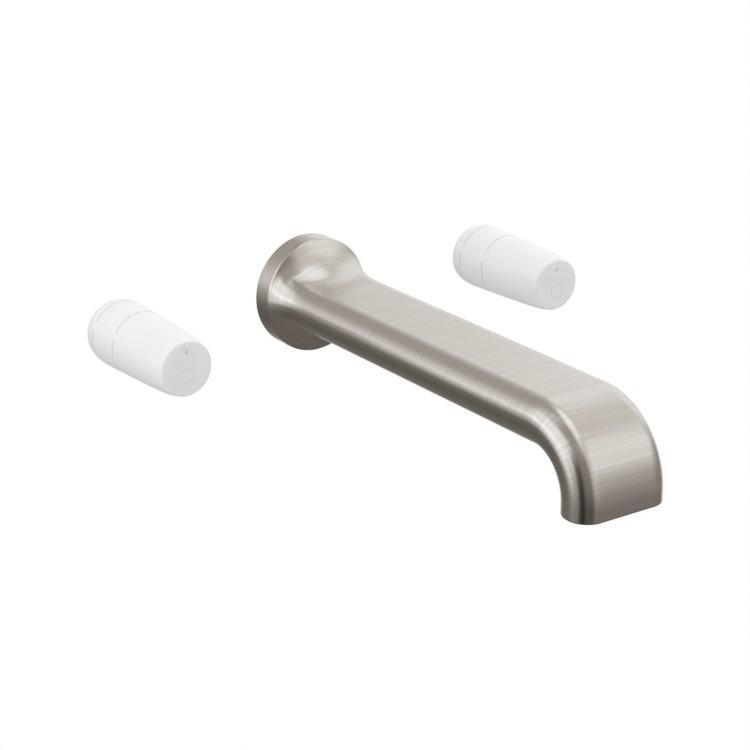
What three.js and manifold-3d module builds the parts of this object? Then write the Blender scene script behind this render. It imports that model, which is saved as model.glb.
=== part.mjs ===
// Wall mounted bath faucet as it stands before its handles are fitted: a flat cast spout that grows out of a
// round flange, and two quarter-turn valves whose stems stand out of the wall under white plastic guards.
// Millimetres. X runs along the wall, -Y points out of the wall into the room, and +Z is up.
// The origin is the middle of the spout's flange, on the face of the finished wall.
// A distance called "out" is measured from the wall's face into the room, so it is negative inside the wall.
import * as THREE from 'three';
import { LoftGeometry } from 'three/addons/geometries/LoftGeometry.js';
import { mergeVertices } from 'three/addons/utils/BufferGeometryUtils.js';
import Module from 'manifold-3d';

// Driving dimensions ------------------------------------------------------------------------------

const SLIP = 0.3; // clearance between pieces that fit inside or rest on each other
const PAST = 1; // how far a cut runs past the face it opens
const JOIN = 0.5; // how far a solid runs into the one it is joined to
const VALVE_CENTRES = 203.2; // 8 inches from stem to stem
const TUBE_RADIUS = 7.94; // copper tube of 5/8 inch outside diameter
const TUBE_WALL = 1.1;
const SOCKET_DEPTH = 12; // how far a tube goes into a fitting
const FITTING_WALL = 2.6; // brass around a tube's socket
const PORT_GAP = 0.66; // from a valve's side outlet to the end of its spigot
const BODY_NECK = 5.5; // from a valve's barrel to the bottom of its tube socket
const TEE_NECK = 3.2; // the same on the tee

const SPOUT = {
  rimRadius: 27.3,
  rimDepth: 10.5,
  bellLength: 34.8, // from the rim to where the section no longer changes
  reach: 233.7, // from the wall to the front of the outlet
  armWidth: 46.8,
  armHeight: 21.8,
  armTop: 10.5, // height of the arm's top above the flange's middle
  topCorner: 9.3,
  bottomCorner: 12.2,
  elbowRadius: 37.7, // of the outer face, where it turns down
  outletDrop: 32.05, // from the flange's middle down to the outlet's edge
  wall: 2.6,
  hubStart: 9, // the hub that slides on the supply tube
  webStart: 22, // the web that joins the hub to the shell
  webEnd: 32,
  hubWall: 3.4,
  grooveOuts: [13, 18.5], // middles of the two seal grooves
  screwOut: 27,
  screwRadius: 2.5,
  screwLength: 3.1,
  keyRadius: 1.4,
  keyDepth: 1.3,
};
const BELL_HUG = { out: 10.2, blend: 1.14 }; // how steeply the bell leaves the rim
const BELL_EASE = 15; // how softly it runs into the arm

const SEAL = { depth: 1.75, width: 2.5 }; // groove in a bore or on a shaft for an O-ring
const GASKET = { width: 3.4, thickness: 3 };

const OUTLET = {
  rimWall: 1.7, // wall left around the insert
  recess: 6.0, // height of the pocket that takes the insert
  gasket: 1.0,
  screen: 0.6,
  straightener: 2.6,
  ledge: 2.2, // width of the gasket
  cells: 7,
  rows: 2,
  rib: 0.9,
};

const CARTRIDGE = {
  radius: 11.7,
  back: -44.3,
  chamberFront: -35, // front end of the space for the discs
  wall: 2.7, // around the discs
  shoulder: -20, // where the bonnet clamps it
  neckFront: -12,
  collarFront: -9,
  clamp: 1.5, // width of the clamped shoulder
  grooveOut: -26.5,
  windowRadius: 2.2,
  collarStep: 1.6, // from the bonnet's bore to the stop collar
};
const DISC = {
  fixedThickness: 3.0,
  movingThickness: 2.8,
  portRadius: 2.4,
  portOffset: 4.6,
  slotWidth: 3.2,
  slotLength: 12,
  slotDepth: 1.5,
};
const STEM = {
  radius: 5.5,
  neckRadius: 4.2,
  splineRadius: 4.9,
  splineRoot: 4.35,
  splineTeeth: 16,
  splineStart: 22,
  tip: 40,
  screwRadius: 2.1, // thread for the handle's screw
  screwDepth: 12,
  footThickness: 1.4,
  washer: 1.0,
  clipThickness: 1.2,
  clipSeat: 1, // depth of the clip's groove
  clipInset: 0.6, // from the stop collar's edge to the clip's
  clipGap: 40, // degrees between the clip's ends
  shoulder: 3, // length of full shaft in front of the clip
  taper: 2,
  tabAngle: 26, // degrees of arc that the stop tab takes up
  tabPlay: 0.2, // from the tab's front to the collar's
  grooveOut: -28,
};
const QUARTER_TURN = 90;
const STOP_PLAY = 2; // degrees of room at each end of the turn

const BODY = {
  back: -70,
  spigotStart: -27, // the bonnet screws on to the spigot
  spigotWall: 1.7,
  wall: 3.5,
  sealGap: 2.4, // from the seat to the cartridge, for the seat seal
  seatBack: -50,
  chamberBack: -63,
  chamberRadius: 9,
  seatRadius: 5.8,
  inletOut: -56,
  inletBore: 5.5,
  inletDrop: 33,
  earHeight: 8,
  earThickness: 4,
  earGap: 1.1, // from the barrel to a screw's head
  earEdge: 6, // from a screw's middle to the ear's end
};
const NIPPLE = { radius: 10.48, bore: 7.4, drop: 56, socket: 15 }; // half-inch pipe thread
const BRACKET = {
  thickness: 2.5,
  halfLength: 128,
  halfHeight: 17,
  corner: 3,
  slotRadius: 3,
  slotHalf: 2.5, // half the length of a slot's straight part
  slotFromEnd: 9,
  slotFromEdge: 6,
};
const SCREW = {
  radius: 2.4,
  headRadius: 4.4,
  headTopRadius: 3.1,
  headSide: 1.9,
  headHeight: 3.2,
  recess: 2.0,
};

const BONNET = { hexWall: 2.5, hexFront: -14, front: 22, wall: 2.0, chamfer: 0.8 };
const GUARD = {
  length: 63.5,
  wall: 1.5,
  gap: 0.3, // between the bonnet's sleeve and the guard's back edge
  noseRound: 1.0,
  innerRound: 0.3, // the least rounding inside the nose
  ribWidth: 1.6,
  ribEnd: 20,
  ribs: 4,
};
// How far the guard's side stands outside its back edge, at distances out from the wall.
const GUARD_SWELL = [
  [0, 0],
  [1.5, 0.6],
  [7.5, 1.4],
  [24.5, 0.95],
  [36, 0.6],
  [48, 0.1],
  [57, -0.5],
];
const GUARD_NOSE_SWELL = -1.5;

// Materials ---------------------------------------------------------------------------------------

const metal = (color, roughness) => new THREE.MeshStandardMaterial({ color, roughness, metalness: 1 });
const plain = (color, roughness) => new THREE.MeshStandardMaterial({ color, roughness, metalness: 0 });
const nickel = metal(0xb9b1a8, 0.34);
const brass = metal(0xc9a45c, 0.38);
const copper = metal(0xc07a52, 0.35);
const steel = metal(0x9da0a3, 0.42);
const zinc = metal(0xa9adae, 0.5);
const whitePlastic = plain(0xf0f0f1, 0.45);
const greyPlastic = plain(0xc9cac8, 0.5);
const rubber = plain(0x202122, 0.8);
const ceramic = plain(0xf3efe6, 0.25);

// Solids ------------------------------------------------------------------------------------------

const wasm = await Module();
wasm.setup();

// A closed geometry as a solid that can be joined and cut.
function solid(geometry) {
  const bare = geometry.index ? geometry.toNonIndexed() : geometry.clone();
  bare.deleteAttribute('normal');
  bare.deleteAttribute('uv');
  const merged = mergeVertices(bare, 1e-4);
  const vertProperties = merged.attributes.position.array;
  const triVerts = new Uint32Array(merged.index.array);
  return new wasm.Manifold(new wasm.Mesh({ numProp: 3, vertProperties, triVerts }));
}

// The geometry of a solid that has been joined and cut.
function geometryOf(made) {
  const mesh = made.getMesh();
  const indexed = new THREE.BufferGeometry();
  indexed.setAttribute('position', new THREE.BufferAttribute(mesh.vertProperties, 3));
  indexed.setIndex(new THREE.BufferAttribute(mesh.triVerts, 1));
  const geometry = indexed.toNonIndexed();
  geometry.computeVertexNormals();
  return geometry;
}

function join(first, ...others) {
  return others.reduce((whole, next) => whole.add(next), first);
}

function cut(first, ...others) {
  return others.reduce((whole, next) => whole.subtract(next), first);
}

// A turned piece whose axis points out of the wall. Each profile point is [radius, out], outside first.
function turned(profile, segments = 20) {
  const points = profile.map(([radius, out]) => new THREE.Vector2(radius, out));
  return new THREE.LatheGeometry(points, segments).rotateX(Math.PI);
}

// A ring or washer between two radii, with its axis out of the wall.
function ring(inner, outer, from, to, segments = 20) {
  return turned([[inner, from], [outer, from], [outer, to], [inner, to], [inner, from]], segments);
}

// An O-ring round the axis out of the wall.
function oRing(inner, outer, out) {
  const thick = (outer - inner) / 2;
  const sides = 5;
  const profile = [];
  for (let i = 0; i <= sides; i++) {
    const angle = ((i % sides) / sides) * 2 * Math.PI;
    profile.push([(inner + outer) / 2 + thick * Math.cos(angle), out + thick * Math.sin(angle)]);
  }
  return turned(profile, 16);
}

// A round bar out of the wall, along the wall or straight up, between two places on that axis.
function outwards(radius, from, to, segments = 20) {
  return turned([[0, from], [radius, from], [radius, to], [0, to]], segments);
}

function sideways(radius, from, to, out, segments = 18) {
  const length = Math.abs(to - from);
  const bar = new THREE.CylinderGeometry(radius, radius, length, segments).rotateZ(Math.PI / 2);
  return bar.translate((from + to) / 2, -out, 0);
}

function upright(radius, from, to, out, segments = 18) {
  const length = Math.abs(to - from);
  const bar = new THREE.CylinderGeometry(radius, radius, length, segments).rotateX(Math.PI / 2);
  return bar.translate(0, -out, (from + to) / 2);
}

function block(width, height, from, to) {
  return new THREE.BoxGeometry(width, to - from, height).translate(0, -(from + to) / 2, 0);
}

// A flat outline, drawn as seen from the room, given thickness between two distances out.
function plate(shape, from, to, curveSegments = 12) {
  const slab = new THREE.ExtrudeGeometry(shape, { depth: to - from, bevelEnabled: false, curveSegments });
  return slab.translate(0, 0, from).rotateX(Math.PI / 2);
}

function hexagon(acrossFlats) {
  const corner = acrossFlats / 2 / Math.cos(Math.PI / 6);
  const points = [];
  for (let i = 0; i < 6; i++) {
    const angle = (i / 6) * 2 * Math.PI;
    points.push(new THREE.Vector2(corner * Math.cos(angle), corner * Math.sin(angle)));
  }
  return new THREE.Shape(points);
}

// A slice of a ring between two angles in degrees.
function sector(inner, outer, from, to) {
  const start = THREE.MathUtils.degToRad(from);
  const end = THREE.MathUtils.degToRad(to);
  const shape = new THREE.Shape();
  shape.absarc(0, 0, outer, start, end, false);
  shape.absarc(0, 0, inner, end, start, true);
  shape.closePath();
  return shape;
}

// Sizes that several pieces share -----------------------------------------------------------------

const socketRadius = TUBE_RADIUS + SLIP;
const fittingRadius = socketRadius + FITTING_WALL;
const waterBore = TUBE_RADIUS - TUBE_WALL;
const runOut = BODY.spigotStart - PORT_GAP - fittingRadius; // the water runs from valve to tee at this depth
const bodyBore = CARTRIDGE.radius + SLIP;
const bodyRadius = bodyBore + BODY.wall;
const spigotRadius = bodyBore + BODY.spigotWall;
const earScrew = bodyRadius + BODY.earGap + SCREW.headRadius; // from the valve's axis
const earReach = earScrew + BODY.earEdge;

// Spout -------------------------------------------------------------------------------------------

const elbowOut = SPOUT.reach - SPOUT.elbowRadius;
const elbowHeight = SPOUT.armTop - SPOUT.elbowRadius;
const tubeBore = TUBE_RADIUS + SLIP;

const CORNER_SHARE = 0.98; // the most of the arm's height that its two corners can take

// The arm's section, set in from its outer face: its flats and the radii of its upper and lower corners.
function armFrame(inset) {
  const fit = Math.min(1, (CORNER_SHARE * SPOUT.armHeight) / (SPOUT.topCorner + SPOUT.bottomCorner));
  return {
    side: SPOUT.armWidth / 2 - inset,
    top: SPOUT.armTop - inset,
    bottom: SPOUT.armTop - SPOUT.armHeight + inset,
    upper: SPOUT.topCorner * fit - inset,
    lower: SPOUT.bottomCorner * fit - inset,
  };
}

function armShape(inset) {
  const { side, top, bottom, upper, lower } = armFrame(inset);
  const shape = new THREE.Shape();
  shape.absarc(side - upper, top - upper, upper, 0, Math.PI / 2, false);
  shape.absarc(-side + upper, top - upper, upper, Math.PI / 2, Math.PI, false);
  shape.absarc(-side + lower, bottom + lower, lower, Math.PI, 1.5 * Math.PI, false);
  shape.absarc(side - lower, bottom + lower, lower, 1.5 * Math.PI, 2 * Math.PI, false);
  shape.closePath();
  return shape;
}

// How far the arm's outline is from the middle of the section, in a direction.
function armRadius(direction, inset) {
  const { side, top, bottom, upper, lower } = armFrame(inset);
  const toSide = side / Math.abs(direction.x);
  const height = toSide * direction.y;
  if (height <= top - upper && height >= bottom + lower) return toSide;
  const rises = direction.y > 0;
  const round = rises ? upper : lower;
  const toFlat = (rises ? top : bottom) / direction.y;
  if (Math.abs(toFlat * direction.x) <= side - round) return toFlat;
  const cornerHeight = rises ? top - round : bottom + round;
  const corner = new THREE.Vector2(Math.sign(direction.x) * (side - round), cornerHeight);
  const along = direction.dot(corner);
  return along + Math.sqrt(round ** 2 - corner.lengthSq() + along ** 2);
}

// One ring of points: the circle of the rim, the arm's section, or a blend of them, placed along the spout.
// A station says how far out it is, how far the elbow has turned there, and how far it drops below that.
function spoutSection({ out, blend = 1, turn = 0, drop = 0 }, inset, count) {
  const points = [];
  for (let i = 0; i < count; i++) {
    const angle = ((i + 0.5) / count) * 2 * Math.PI;
    const direction = new THREE.Vector2(Math.cos(angle), Math.sin(angle));
    const radius = THREE.MathUtils.lerp(SPOUT.rimRadius - inset, armRadius(direction, inset), blend);
    const lever = radius * direction.y - elbowHeight;
    const outAt = out + lever * Math.sin(turn);
    const height = elbowHeight + lever * Math.cos(turn) - drop;
    points.push(new THREE.Vector3(radius * direction.x, -outAt, height));
  }
  return points;
}

// How far the round rim has become the arm's section, at points along the bell.
function bellStations(steps) {
  const bellEnd = SPOUT.rimDepth + SPOUT.bellLength;
  const curve = new THREE.CubicBezierCurve(
    new THREE.Vector2(SPOUT.rimDepth, 0),
    new THREE.Vector2(SPOUT.rimDepth + BELL_HUG.out, BELL_HUG.blend),
    new THREE.Vector2(bellEnd - BELL_EASE, 1),
    new THREE.Vector2(bellEnd, 1),
  );
  return curve.getPoints(steps).map((point) => ({ out: point.x, blend: point.y }));
}

function elbowStations(steps, drop) {
  const stations = [];
  for (let i = 0; i <= steps; i++) {
    stations.push({ out: elbowOut, turn: ((i / steps) * Math.PI) / 2 });
  }
  stations.push({ out: elbowOut, turn: Math.PI / 2, drop });
  return stations;
}

function spoutLoft(stations, inset, count) {
  const sections = stations.map((station) => spoutSection(station, inset, count));
  return solid(new LoftGeometry(sections, { capStart: true, capEnd: true }));
}

function spoutShell() {
  const mouthDrop = SPOUT.outletDrop + elbowHeight;
  const skin = spoutLoft(
    [{ out: 0, blend: 0 }, ...bellStations(9), ...elbowStations(9, mouthDrop)],
    0,
    48,
  );
  const pocketStations = bellStations(9)
    .map(({ out, blend }) => ({ out: out - SPOUT.wall, blend }))
    .filter(({ out }) => out < SPOUT.webStart);
  const pocket = spoutLoft([{ out: -PAST, blend: 0 }, ...pocketStations], SPOUT.wall, 32);
  const waterwayStations = [{ out: SPOUT.webEnd }, ...elbowStations(6, mouthDrop + PAST)];
  const waterway = spoutLoft(waterwayStations, SPOUT.wall, 32);
  const hub = solid(outwards(tubeBore + SPOUT.hubWall, SPOUT.hubStart, SPOUT.webEnd));
  const bore = solid(outwards(tubeBore, -PAST, SPOUT.webEnd + PAST));
  const grooves = SPOUT.grooveOuts.map((out) =>
    solid(outwards(tubeBore + SEAL.depth, out - SEAL.width / 2, out + SEAL.width / 2)),
  );
  const screwHole = solid(upright(SPOUT.screwRadius + SLIP, -SPOUT.rimRadius, 0, SPOUT.screwOut, 16));
  const mouth = solid(outletPlate(OUTLET.rimWall, -SPOUT.outletDrop - PAST, OUTLET.recess + PAST));
  return geometryOf(cut(skin, cut(pocket, hub), waterway, bore, ...grooves, screwHole, mouth));
}

// A plate with the outlet's outline, set in from the outer face, lying level from a given height upwards.
function outletPlate(inset, height, thickness, holes = []) {
  const shape = armShape(inset);
  shape.holes = holes;
  const slab = new THREE.ExtrudeGeometry(shape, { depth: thickness, bevelEnabled: false, curveSegments: 4 });
  return slab.rotateZ(Math.PI).translate(0, elbowHeight - elbowOut, height);
}

const insertInset = OUTLET.rimWall + SLIP;
const recessTop = -SPOUT.outletDrop + OUTLET.recess;
const gasketBottom = recessTop - SLIP - OUTLET.gasket;
const screenBottom = gasketBottom - SLIP - OUTLET.screen;
const straightenerBottom = screenBottom - SLIP - OUTLET.straightener;

function outletGasket() {
  const opening = armShape(insertInset + OUTLET.ledge);
  return outletPlate(insertInset, gasketBottom, OUTLET.gasket, [opening]);
}

// A level plate in the outlet, cut through by rows of rectangular cells.
function cellPlate(height, thickness, cells, rows, rib) {
  const inset = insertInset + OUTLET.ledge;
  const cellWidth = (SPOUT.armWidth - 2 * inset - SPOUT.topCorner) / cells;
  const cellDepth = (SPOUT.armHeight - 2 * inset) / rows;
  const middle = elbowOut - elbowHeight + SPOUT.armTop - SPOUT.armHeight / 2;
  const holes = [];
  for (let row = 0; row < rows; row++) {
    for (let cell = 0; cell < cells; cell++) {
      const hole = new THREE.BoxGeometry(cellWidth - rib, cellDepth - rib, thickness + 2);
      const x = (cell - (cells - 1) / 2) * cellWidth;
      const out = middle + (row - (rows - 1) / 2) * cellDepth;
      holes.push(solid(hole.translate(x, -out, height + thickness / 2)));
    }
  }
  return geometryOf(cut(solid(outletPlate(insertInset, height, thickness)), ...holes));
}

function debrisScreen() {
  return cellPlate(screenBottom, OUTLET.screen, OUTLET.cells, OUTLET.rows, OUTLET.rib / 2);
}

function streamStraightener() {
  return cellPlate(straightenerBottom, OUTLET.straightener, OUTLET.cells, OUTLET.rows, OUTLET.rib);
}

function flangeGasket() {
  const outer = SPOUT.rimRadius - SPOUT.wall - SLIP;
  return ring(outer - GASKET.width, outer, 0, GASKET.thickness, 24);
}

// Socket-head grub screw, pointing up at the tube, with its head flush in the bell's underside.
function setScrew() {
  const point = -TUBE_RADIUS - SLIP;
  const head = point - SPOUT.screwLength;
  const screw = solid(upright(SPOUT.screwRadius, head, point, SPOUT.screwOut, 16));
  const key = solid(upright(SPOUT.keyRadius, head - PAST, head + SPOUT.keyDepth, SPOUT.screwOut, 6));
  return geometryOf(cut(screw, key));
}

function spoutSeal(out) {
  return oRing(TUBE_RADIUS + SLIP, tubeBore + SEAL.depth - SLIP, out);
}

// Supply tubes and tee ----------------------------------------------------------------------------

const teeSocket = fittingRadius + TEE_NECK; // from the tee's middle to the bottom of each of its sockets
const teeReach = teeSocket + SOCKET_DEPTH;
const bodySocket = bodyRadius + BODY_NECK; // from a valve's axis to the bottom of its side outlet's socket
const bodyReach = bodySocket + SOCKET_DEPTH;

function spoutTube() {
  const back = runOut + teeSocket + SLIP;
  const front = SPOUT.webEnd - 1;
  return ring(waterBore, TUBE_RADIUS, back, front);
}

function crossoverTube(inward) {
  const fromValve = bodySocket + SLIP;
  const fromTee = VALVE_CENTRES / 2 - teeSocket - SLIP;
  const outer = solid(sideways(TUBE_RADIUS, inward * fromValve, inward * fromTee, runOut));
  const inner = solid(sideways(waterBore, inward * (fromValve - PAST), inward * (fromTee + PAST), runOut));
  return geometryOf(cut(outer, inner));
}

function outletTee() {
  const front = runOut + teeReach;
  const run = solid(sideways(fittingRadius, -teeReach, teeReach, runOut));
  const branch = solid(outwards(fittingRadius, runOut, front));
  const runBore = solid(sideways(waterBore, -teeReach - PAST, teeReach + PAST, runOut));
  const branchBore = solid(outwards(waterBore, runOut, front + PAST));
  const left = solid(sideways(socketRadius, -teeReach - PAST, -teeSocket, runOut));
  const right = solid(sideways(socketRadius, teeSocket, teeReach + PAST, runOut));
  const spoutSocket = solid(outwards(socketRadius, runOut + teeSocket, front + PAST));
  return geometryOf(cut(join(run, branch), runBore, branchBore, left, right, spoutSocket));
}

// Bracket -----------------------------------------------------------------------------------------

const bracketFront = BODY.back - SLIP;
const bracketBack = bracketFront - BRACKET.thickness;

function slotPath(x, y, radius, halfLength) {
  const path = new THREE.Path();
  path.absarc(x + halfLength, y, radius, -Math.PI / 2, Math.PI / 2, false);
  path.absarc(x - halfLength, y, radius, Math.PI / 2, 1.5 * Math.PI, false);
  path.closePath();
  return path;
}

function mountingBracket() {
  const halfLength = Math.max(BRACKET.halfLength, VALVE_CENTRES / 2 + earReach);
  const corner = BRACKET.corner;
  const shape = new THREE.Shape();
  const side = halfLength - corner;
  const top = BRACKET.halfHeight - corner;
  shape.absarc(side, top, corner, 0, Math.PI / 2, false);
  shape.absarc(-side, top, corner, Math.PI / 2, Math.PI, false);
  shape.absarc(-side, -top, corner, Math.PI, 1.5 * Math.PI, false);
  shape.absarc(side, -top, corner, 1.5 * Math.PI, 2 * Math.PI, false);
  shape.closePath();
  const slotX = halfLength - BRACKET.slotFromEnd;
  const slotY = BRACKET.halfHeight - BRACKET.slotFromEdge;
  for (const x of [-slotX, slotX]) {
    shape.holes.push(slotPath(x, slotY, BRACKET.slotRadius, BRACKET.slotHalf));
    shape.holes.push(slotPath(x, -slotY, BRACKET.slotRadius, BRACKET.slotHalf));
  }
  for (const valveX of [-VALVE_CENTRES / 2, VALVE_CENTRES / 2]) {
    for (const ear of [-earScrew, earScrew]) {
      const hole = new THREE.Path();
      hole.absarc(valveX + ear, 0, SCREW.radius + SLIP, 0, 2 * Math.PI, false);
      shape.holes.push(hole);
    }
  }
  return plate(shape, bracketBack, bracketFront, 5);
}

function bracketScrew() {
  const head = BODY.back + BODY.earThickness + SLIP;
  const profile = [
    [0, bracketBack + SLIP],
    [SCREW.radius, bracketBack + SLIP],
    [SCREW.radius, head],
    [SCREW.headRadius, head],
    [SCREW.headRadius, head + SCREW.headSide],
    [SCREW.headTopRadius, head + SCREW.headHeight],
    [0, head + SCREW.headHeight],
  ];
  const screw = solid(turned(profile, 16));
  const top = head + SCREW.headHeight;
  const key = solid(plate(hexagon(SCREW.headRadius), top - SCREW.recess, top + PAST));
  return geometryOf(cut(screw, key));
}

// Valves ------------------------------------------------------------------------------------------

const boreBack = CARTRIDGE.back - SLIP - BODY.sealGap;
const nippleSocket = NIPPLE.radius + SLIP;

function valveBody(inward) {
  const barrel = solid(outwards(bodyRadius, BODY.back, BODY.spigotStart, 22));
  const spigot = solid(outwards(spigotRadius, BODY.spigotStart - PAST, CARTRIDGE.shoulder, 22));
  const port = solid(sideways(fittingRadius, 0, inward * bodyReach, runOut));
  const inlet = solid(upright(nippleSocket + FITTING_WALL, -BODY.inletDrop, 0, BODY.inletOut));
  const earTop = BODY.back + BODY.earThickness;
  const ears = solid(block(2 * earReach, 2 * BODY.earHeight, BODY.back, earTop));
  const brassPiece = join(barrel, spigot, port, inlet, ears);
  const screwHoles = [-earScrew, earScrew].map((x) =>
    solid(outwards(SCREW.radius + SLIP, BODY.back - PAST, earTop + PAST, 12).translate(x, 0, 0)),
  );
  const socketTop = -BODY.inletDrop + NIPPLE.socket;
  return geometryOf(
    cut(
      brassPiece,
      solid(outwards(bodyBore, boreBack, CARTRIDGE.shoulder + PAST, 22)),
      solid(outwards(BODY.seatRadius, BODY.seatBack - PAST, boreBack + PAST)),
      solid(outwards(BODY.chamberRadius, BODY.chamberBack, BODY.seatBack)),
      solid(sideways(waterBore, 0, inward * (bodyReach + PAST), runOut)),
      solid(sideways(socketRadius, inward * bodySocket, inward * (bodyReach + PAST), runOut)),
      solid(upright(BODY.inletBore, -BODY.inletDrop - PAST, 0, BODY.inletOut)),
      solid(upright(nippleSocket, -BODY.inletDrop - PAST, socketTop, BODY.inletOut)),
      ...screwHoles,
    ),
  );
}

function inletNipple() {
  const top = -BODY.inletDrop + NIPPLE.socket - SLIP;
  const pipe = solid(upright(NIPPLE.radius, -NIPPLE.drop, top, BODY.inletOut));
  const bore = solid(upright(NIPPLE.bore, -NIPPLE.drop - PAST, top + PAST, BODY.inletOut));
  return geometryOf(cut(pipe, bore));
}

function seatSeal() {
  return ring(BODY.seatRadius, discRadius, boreBack + SLIP, boreBack + BODY.sealGap);
}

const chamberRadius = CARTRIDGE.radius - CARTRIDGE.wall;
const discRadius = chamberRadius - SLIP;
const bonnetBore = CARTRIDGE.radius - CARTRIDGE.clamp;
const neckFlats = 2 * (bonnetBore - SLIP) * Math.cos(Math.PI / 6);
const collarRadius = bonnetBore - CARTRIDGE.collarStep;
const stemBore = STEM.radius + SLIP;
const stopHalf = QUARTER_TURN / 2 + STEM.tabAngle / 2 + STOP_PLAY;

function cartridgeHousing() {
  const groove = CARTRIDGE.grooveOut;
  const grooveFloor = CARTRIDGE.radius - SEAL.depth - SLIP;
  const barrel = solid(
    turned([
      [chamberRadius, CARTRIDGE.back],
      [CARTRIDGE.radius, CARTRIDGE.back],
      [CARTRIDGE.radius, groove - SEAL.width / 2],
      [grooveFloor, groove - SEAL.width / 2],
      [grooveFloor, groove + SEAL.width / 2],
      [CARTRIDGE.radius, groove + SEAL.width / 2],
      [CARTRIDGE.radius, CARTRIDGE.shoulder],
      [stemBore, CARTRIDGE.shoulder],
      [stemBore, CARTRIDGE.chamberFront],
      [chamberRadius, CARTRIDGE.chamberFront],
      [chamberRadius, CARTRIDGE.back],
    ]),
  );
  const neck = solid(plate(hexagon(neckFlats), CARTRIDGE.shoulder - PAST, CARTRIDGE.neckFront));
  const collar = solid(outwards(collarRadius, CARTRIDGE.neckFront - PAST, CARTRIDGE.collarFront));
  const stemHole = solid(outwards(stemBore, CARTRIDGE.shoulder - 2 * PAST, CARTRIDGE.collarFront + PAST));
  const stopGap = sector(0, collarRadius + PAST, 90 - stopHalf, 90 + stopHalf);
  const stop = solid(plate(stopGap, CARTRIDGE.neckFront, CARTRIDGE.collarFront + PAST));
  const windowReach = CARTRIDGE.radius + PAST;
  const windows = solid(sideways(CARTRIDGE.windowRadius, -windowReach, windowReach, runOut, 12));
  return geometryOf(cut(join(barrel, cut(join(neck, collar), stemHole)), stop, windows));
}

function cartridgeSeal() {
  const grooveFloor = CARTRIDGE.radius - SEAL.depth - SLIP;
  return oRing(grooveFloor + SLIP, CARTRIDGE.radius, CARTRIDGE.grooveOut);
}

const fixedDiscFront = CARTRIDGE.back + DISC.fixedThickness;
const movingDiscBack = fixedDiscFront + SLIP;
const movingDiscFront = movingDiscBack + DISC.movingThickness;

// A ceramic disc with two round ports on a line at the given angle.
function disc(angle, from, to) {
  const body = solid(outwards(discRadius, from, to));
  const ports = [0, 180].map((turn) => {
    const at = THREE.MathUtils.degToRad(angle + turn);
    const port = outwards(DISC.portRadius, from - PAST, to + PAST, 12);
    return solid(port.translate(DISC.portOffset * Math.cos(at), 0, DISC.portOffset * Math.sin(at)));
  });
  return cut(body, ...ports);
}

function fixedDisc() {
  return geometryOf(disc(0, CARTRIDGE.back, fixedDiscFront));
}

function movingDisc() {
  const slotBack = movingDiscFront - DISC.slotDepth;
  const slot = solid(block(DISC.slotLength, DISC.slotWidth, slotBack, movingDiscFront + PAST));
  return geometryOf(cut(disc(90, movingDiscBack, movingDiscFront), slot));
}

const footBack = movingDiscFront + SLIP;
const footFront = footBack + STEM.footThickness;
const clipBack = CARTRIDGE.collarFront + SLIP;
const clipFront = clipBack + STEM.clipThickness;

function thrustWasher() {
  return ring(stemBore, discRadius, footFront + SLIP, footFront + SLIP + STEM.washer);
}

function splineShape() {
  const points = [];
  const count = 2 * STEM.splineTeeth;
  for (let i = 0; i < count; i++) {
    const radius = i % 2 ? STEM.splineRoot : STEM.splineRadius;
    const angle = (i / count) * 2 * Math.PI;
    points.push(new THREE.Vector2(radius * Math.cos(angle), radius * Math.sin(angle)));
  }
  return new THREE.Shape(points);
}

// The stem: a foot with a tang that turns the disc, a sealed shaft, a stop tab, and a splined end.
function stem(turnSign) {
  const sealFloor = STEM.radius - SEAL.depth;
  const clipFloor = STEM.radius - STEM.clipSeat;
  const shaft = solid(
    turned([
      [0, footBack],
      [discRadius, footBack],
      [discRadius, footFront],
      [STEM.radius, footFront],
      [STEM.radius, STEM.grooveOut - SEAL.width / 2],
      [sealFloor, STEM.grooveOut - SEAL.width / 2],
      [sealFloor, STEM.grooveOut + SEAL.width / 2],
      [STEM.radius, STEM.grooveOut + SEAL.width / 2],
      [STEM.radius, clipBack - SLIP],
      [clipFloor, clipBack - SLIP],
      [clipFloor, clipFront + SLIP],
      [STEM.radius, clipFront + SLIP],
      [STEM.radius, clipFront + STEM.shoulder],
      [STEM.neckRadius, clipFront + STEM.shoulder + STEM.taper],
      [STEM.neckRadius, STEM.splineStart],
      [0, STEM.splineStart],
    ]),
  );
  const spline = solid(plate(splineShape(), STEM.splineStart - JOIN, STEM.tip));
  const tangWidth = DISC.slotWidth - 2 * SLIP;
  const tangLength = DISC.slotLength - 2 * SLIP;
  const tangBack = movingDiscFront - DISC.slotDepth + SLIP;
  const tang = solid(block(tangLength, tangWidth, tangBack, footBack + JOIN));
  const middle = 90 - (turnSign * QUARTER_TURN) / 2;
  const tabHalf = STEM.tabAngle / 2;
  const tabShape = sector(STEM.radius - 2, collarRadius - SLIP, middle - tabHalf, middle + tabHalf);
  const tab = solid(plate(tabShape, CARTRIDGE.neckFront + SLIP, CARTRIDGE.collarFront - STEM.tabPlay, 4));
  const thread = solid(outwards(STEM.screwRadius, STEM.tip - STEM.screwDepth, STEM.tip + PAST, 12));
  return geometryOf(cut(join(shaft, spline, tang, tab), thread));
}

function stemSeal() {
  return oRing(STEM.radius - SEAL.depth + SLIP, STEM.radius, STEM.grooveOut);
}

function stemClip() {
  const inner = STEM.radius - STEM.clipSeat + SLIP;
  const outer = collarRadius - STEM.clipInset;
  const open = STEM.clipGap / 2;
  return plate(sector(inner, outer, 90 + open, 450 - open), clipBack, clipFront, 10);
}

const nutBore = spigotRadius + SLIP;
const sleeveRadius = bonnetBore + BONNET.wall;

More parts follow.
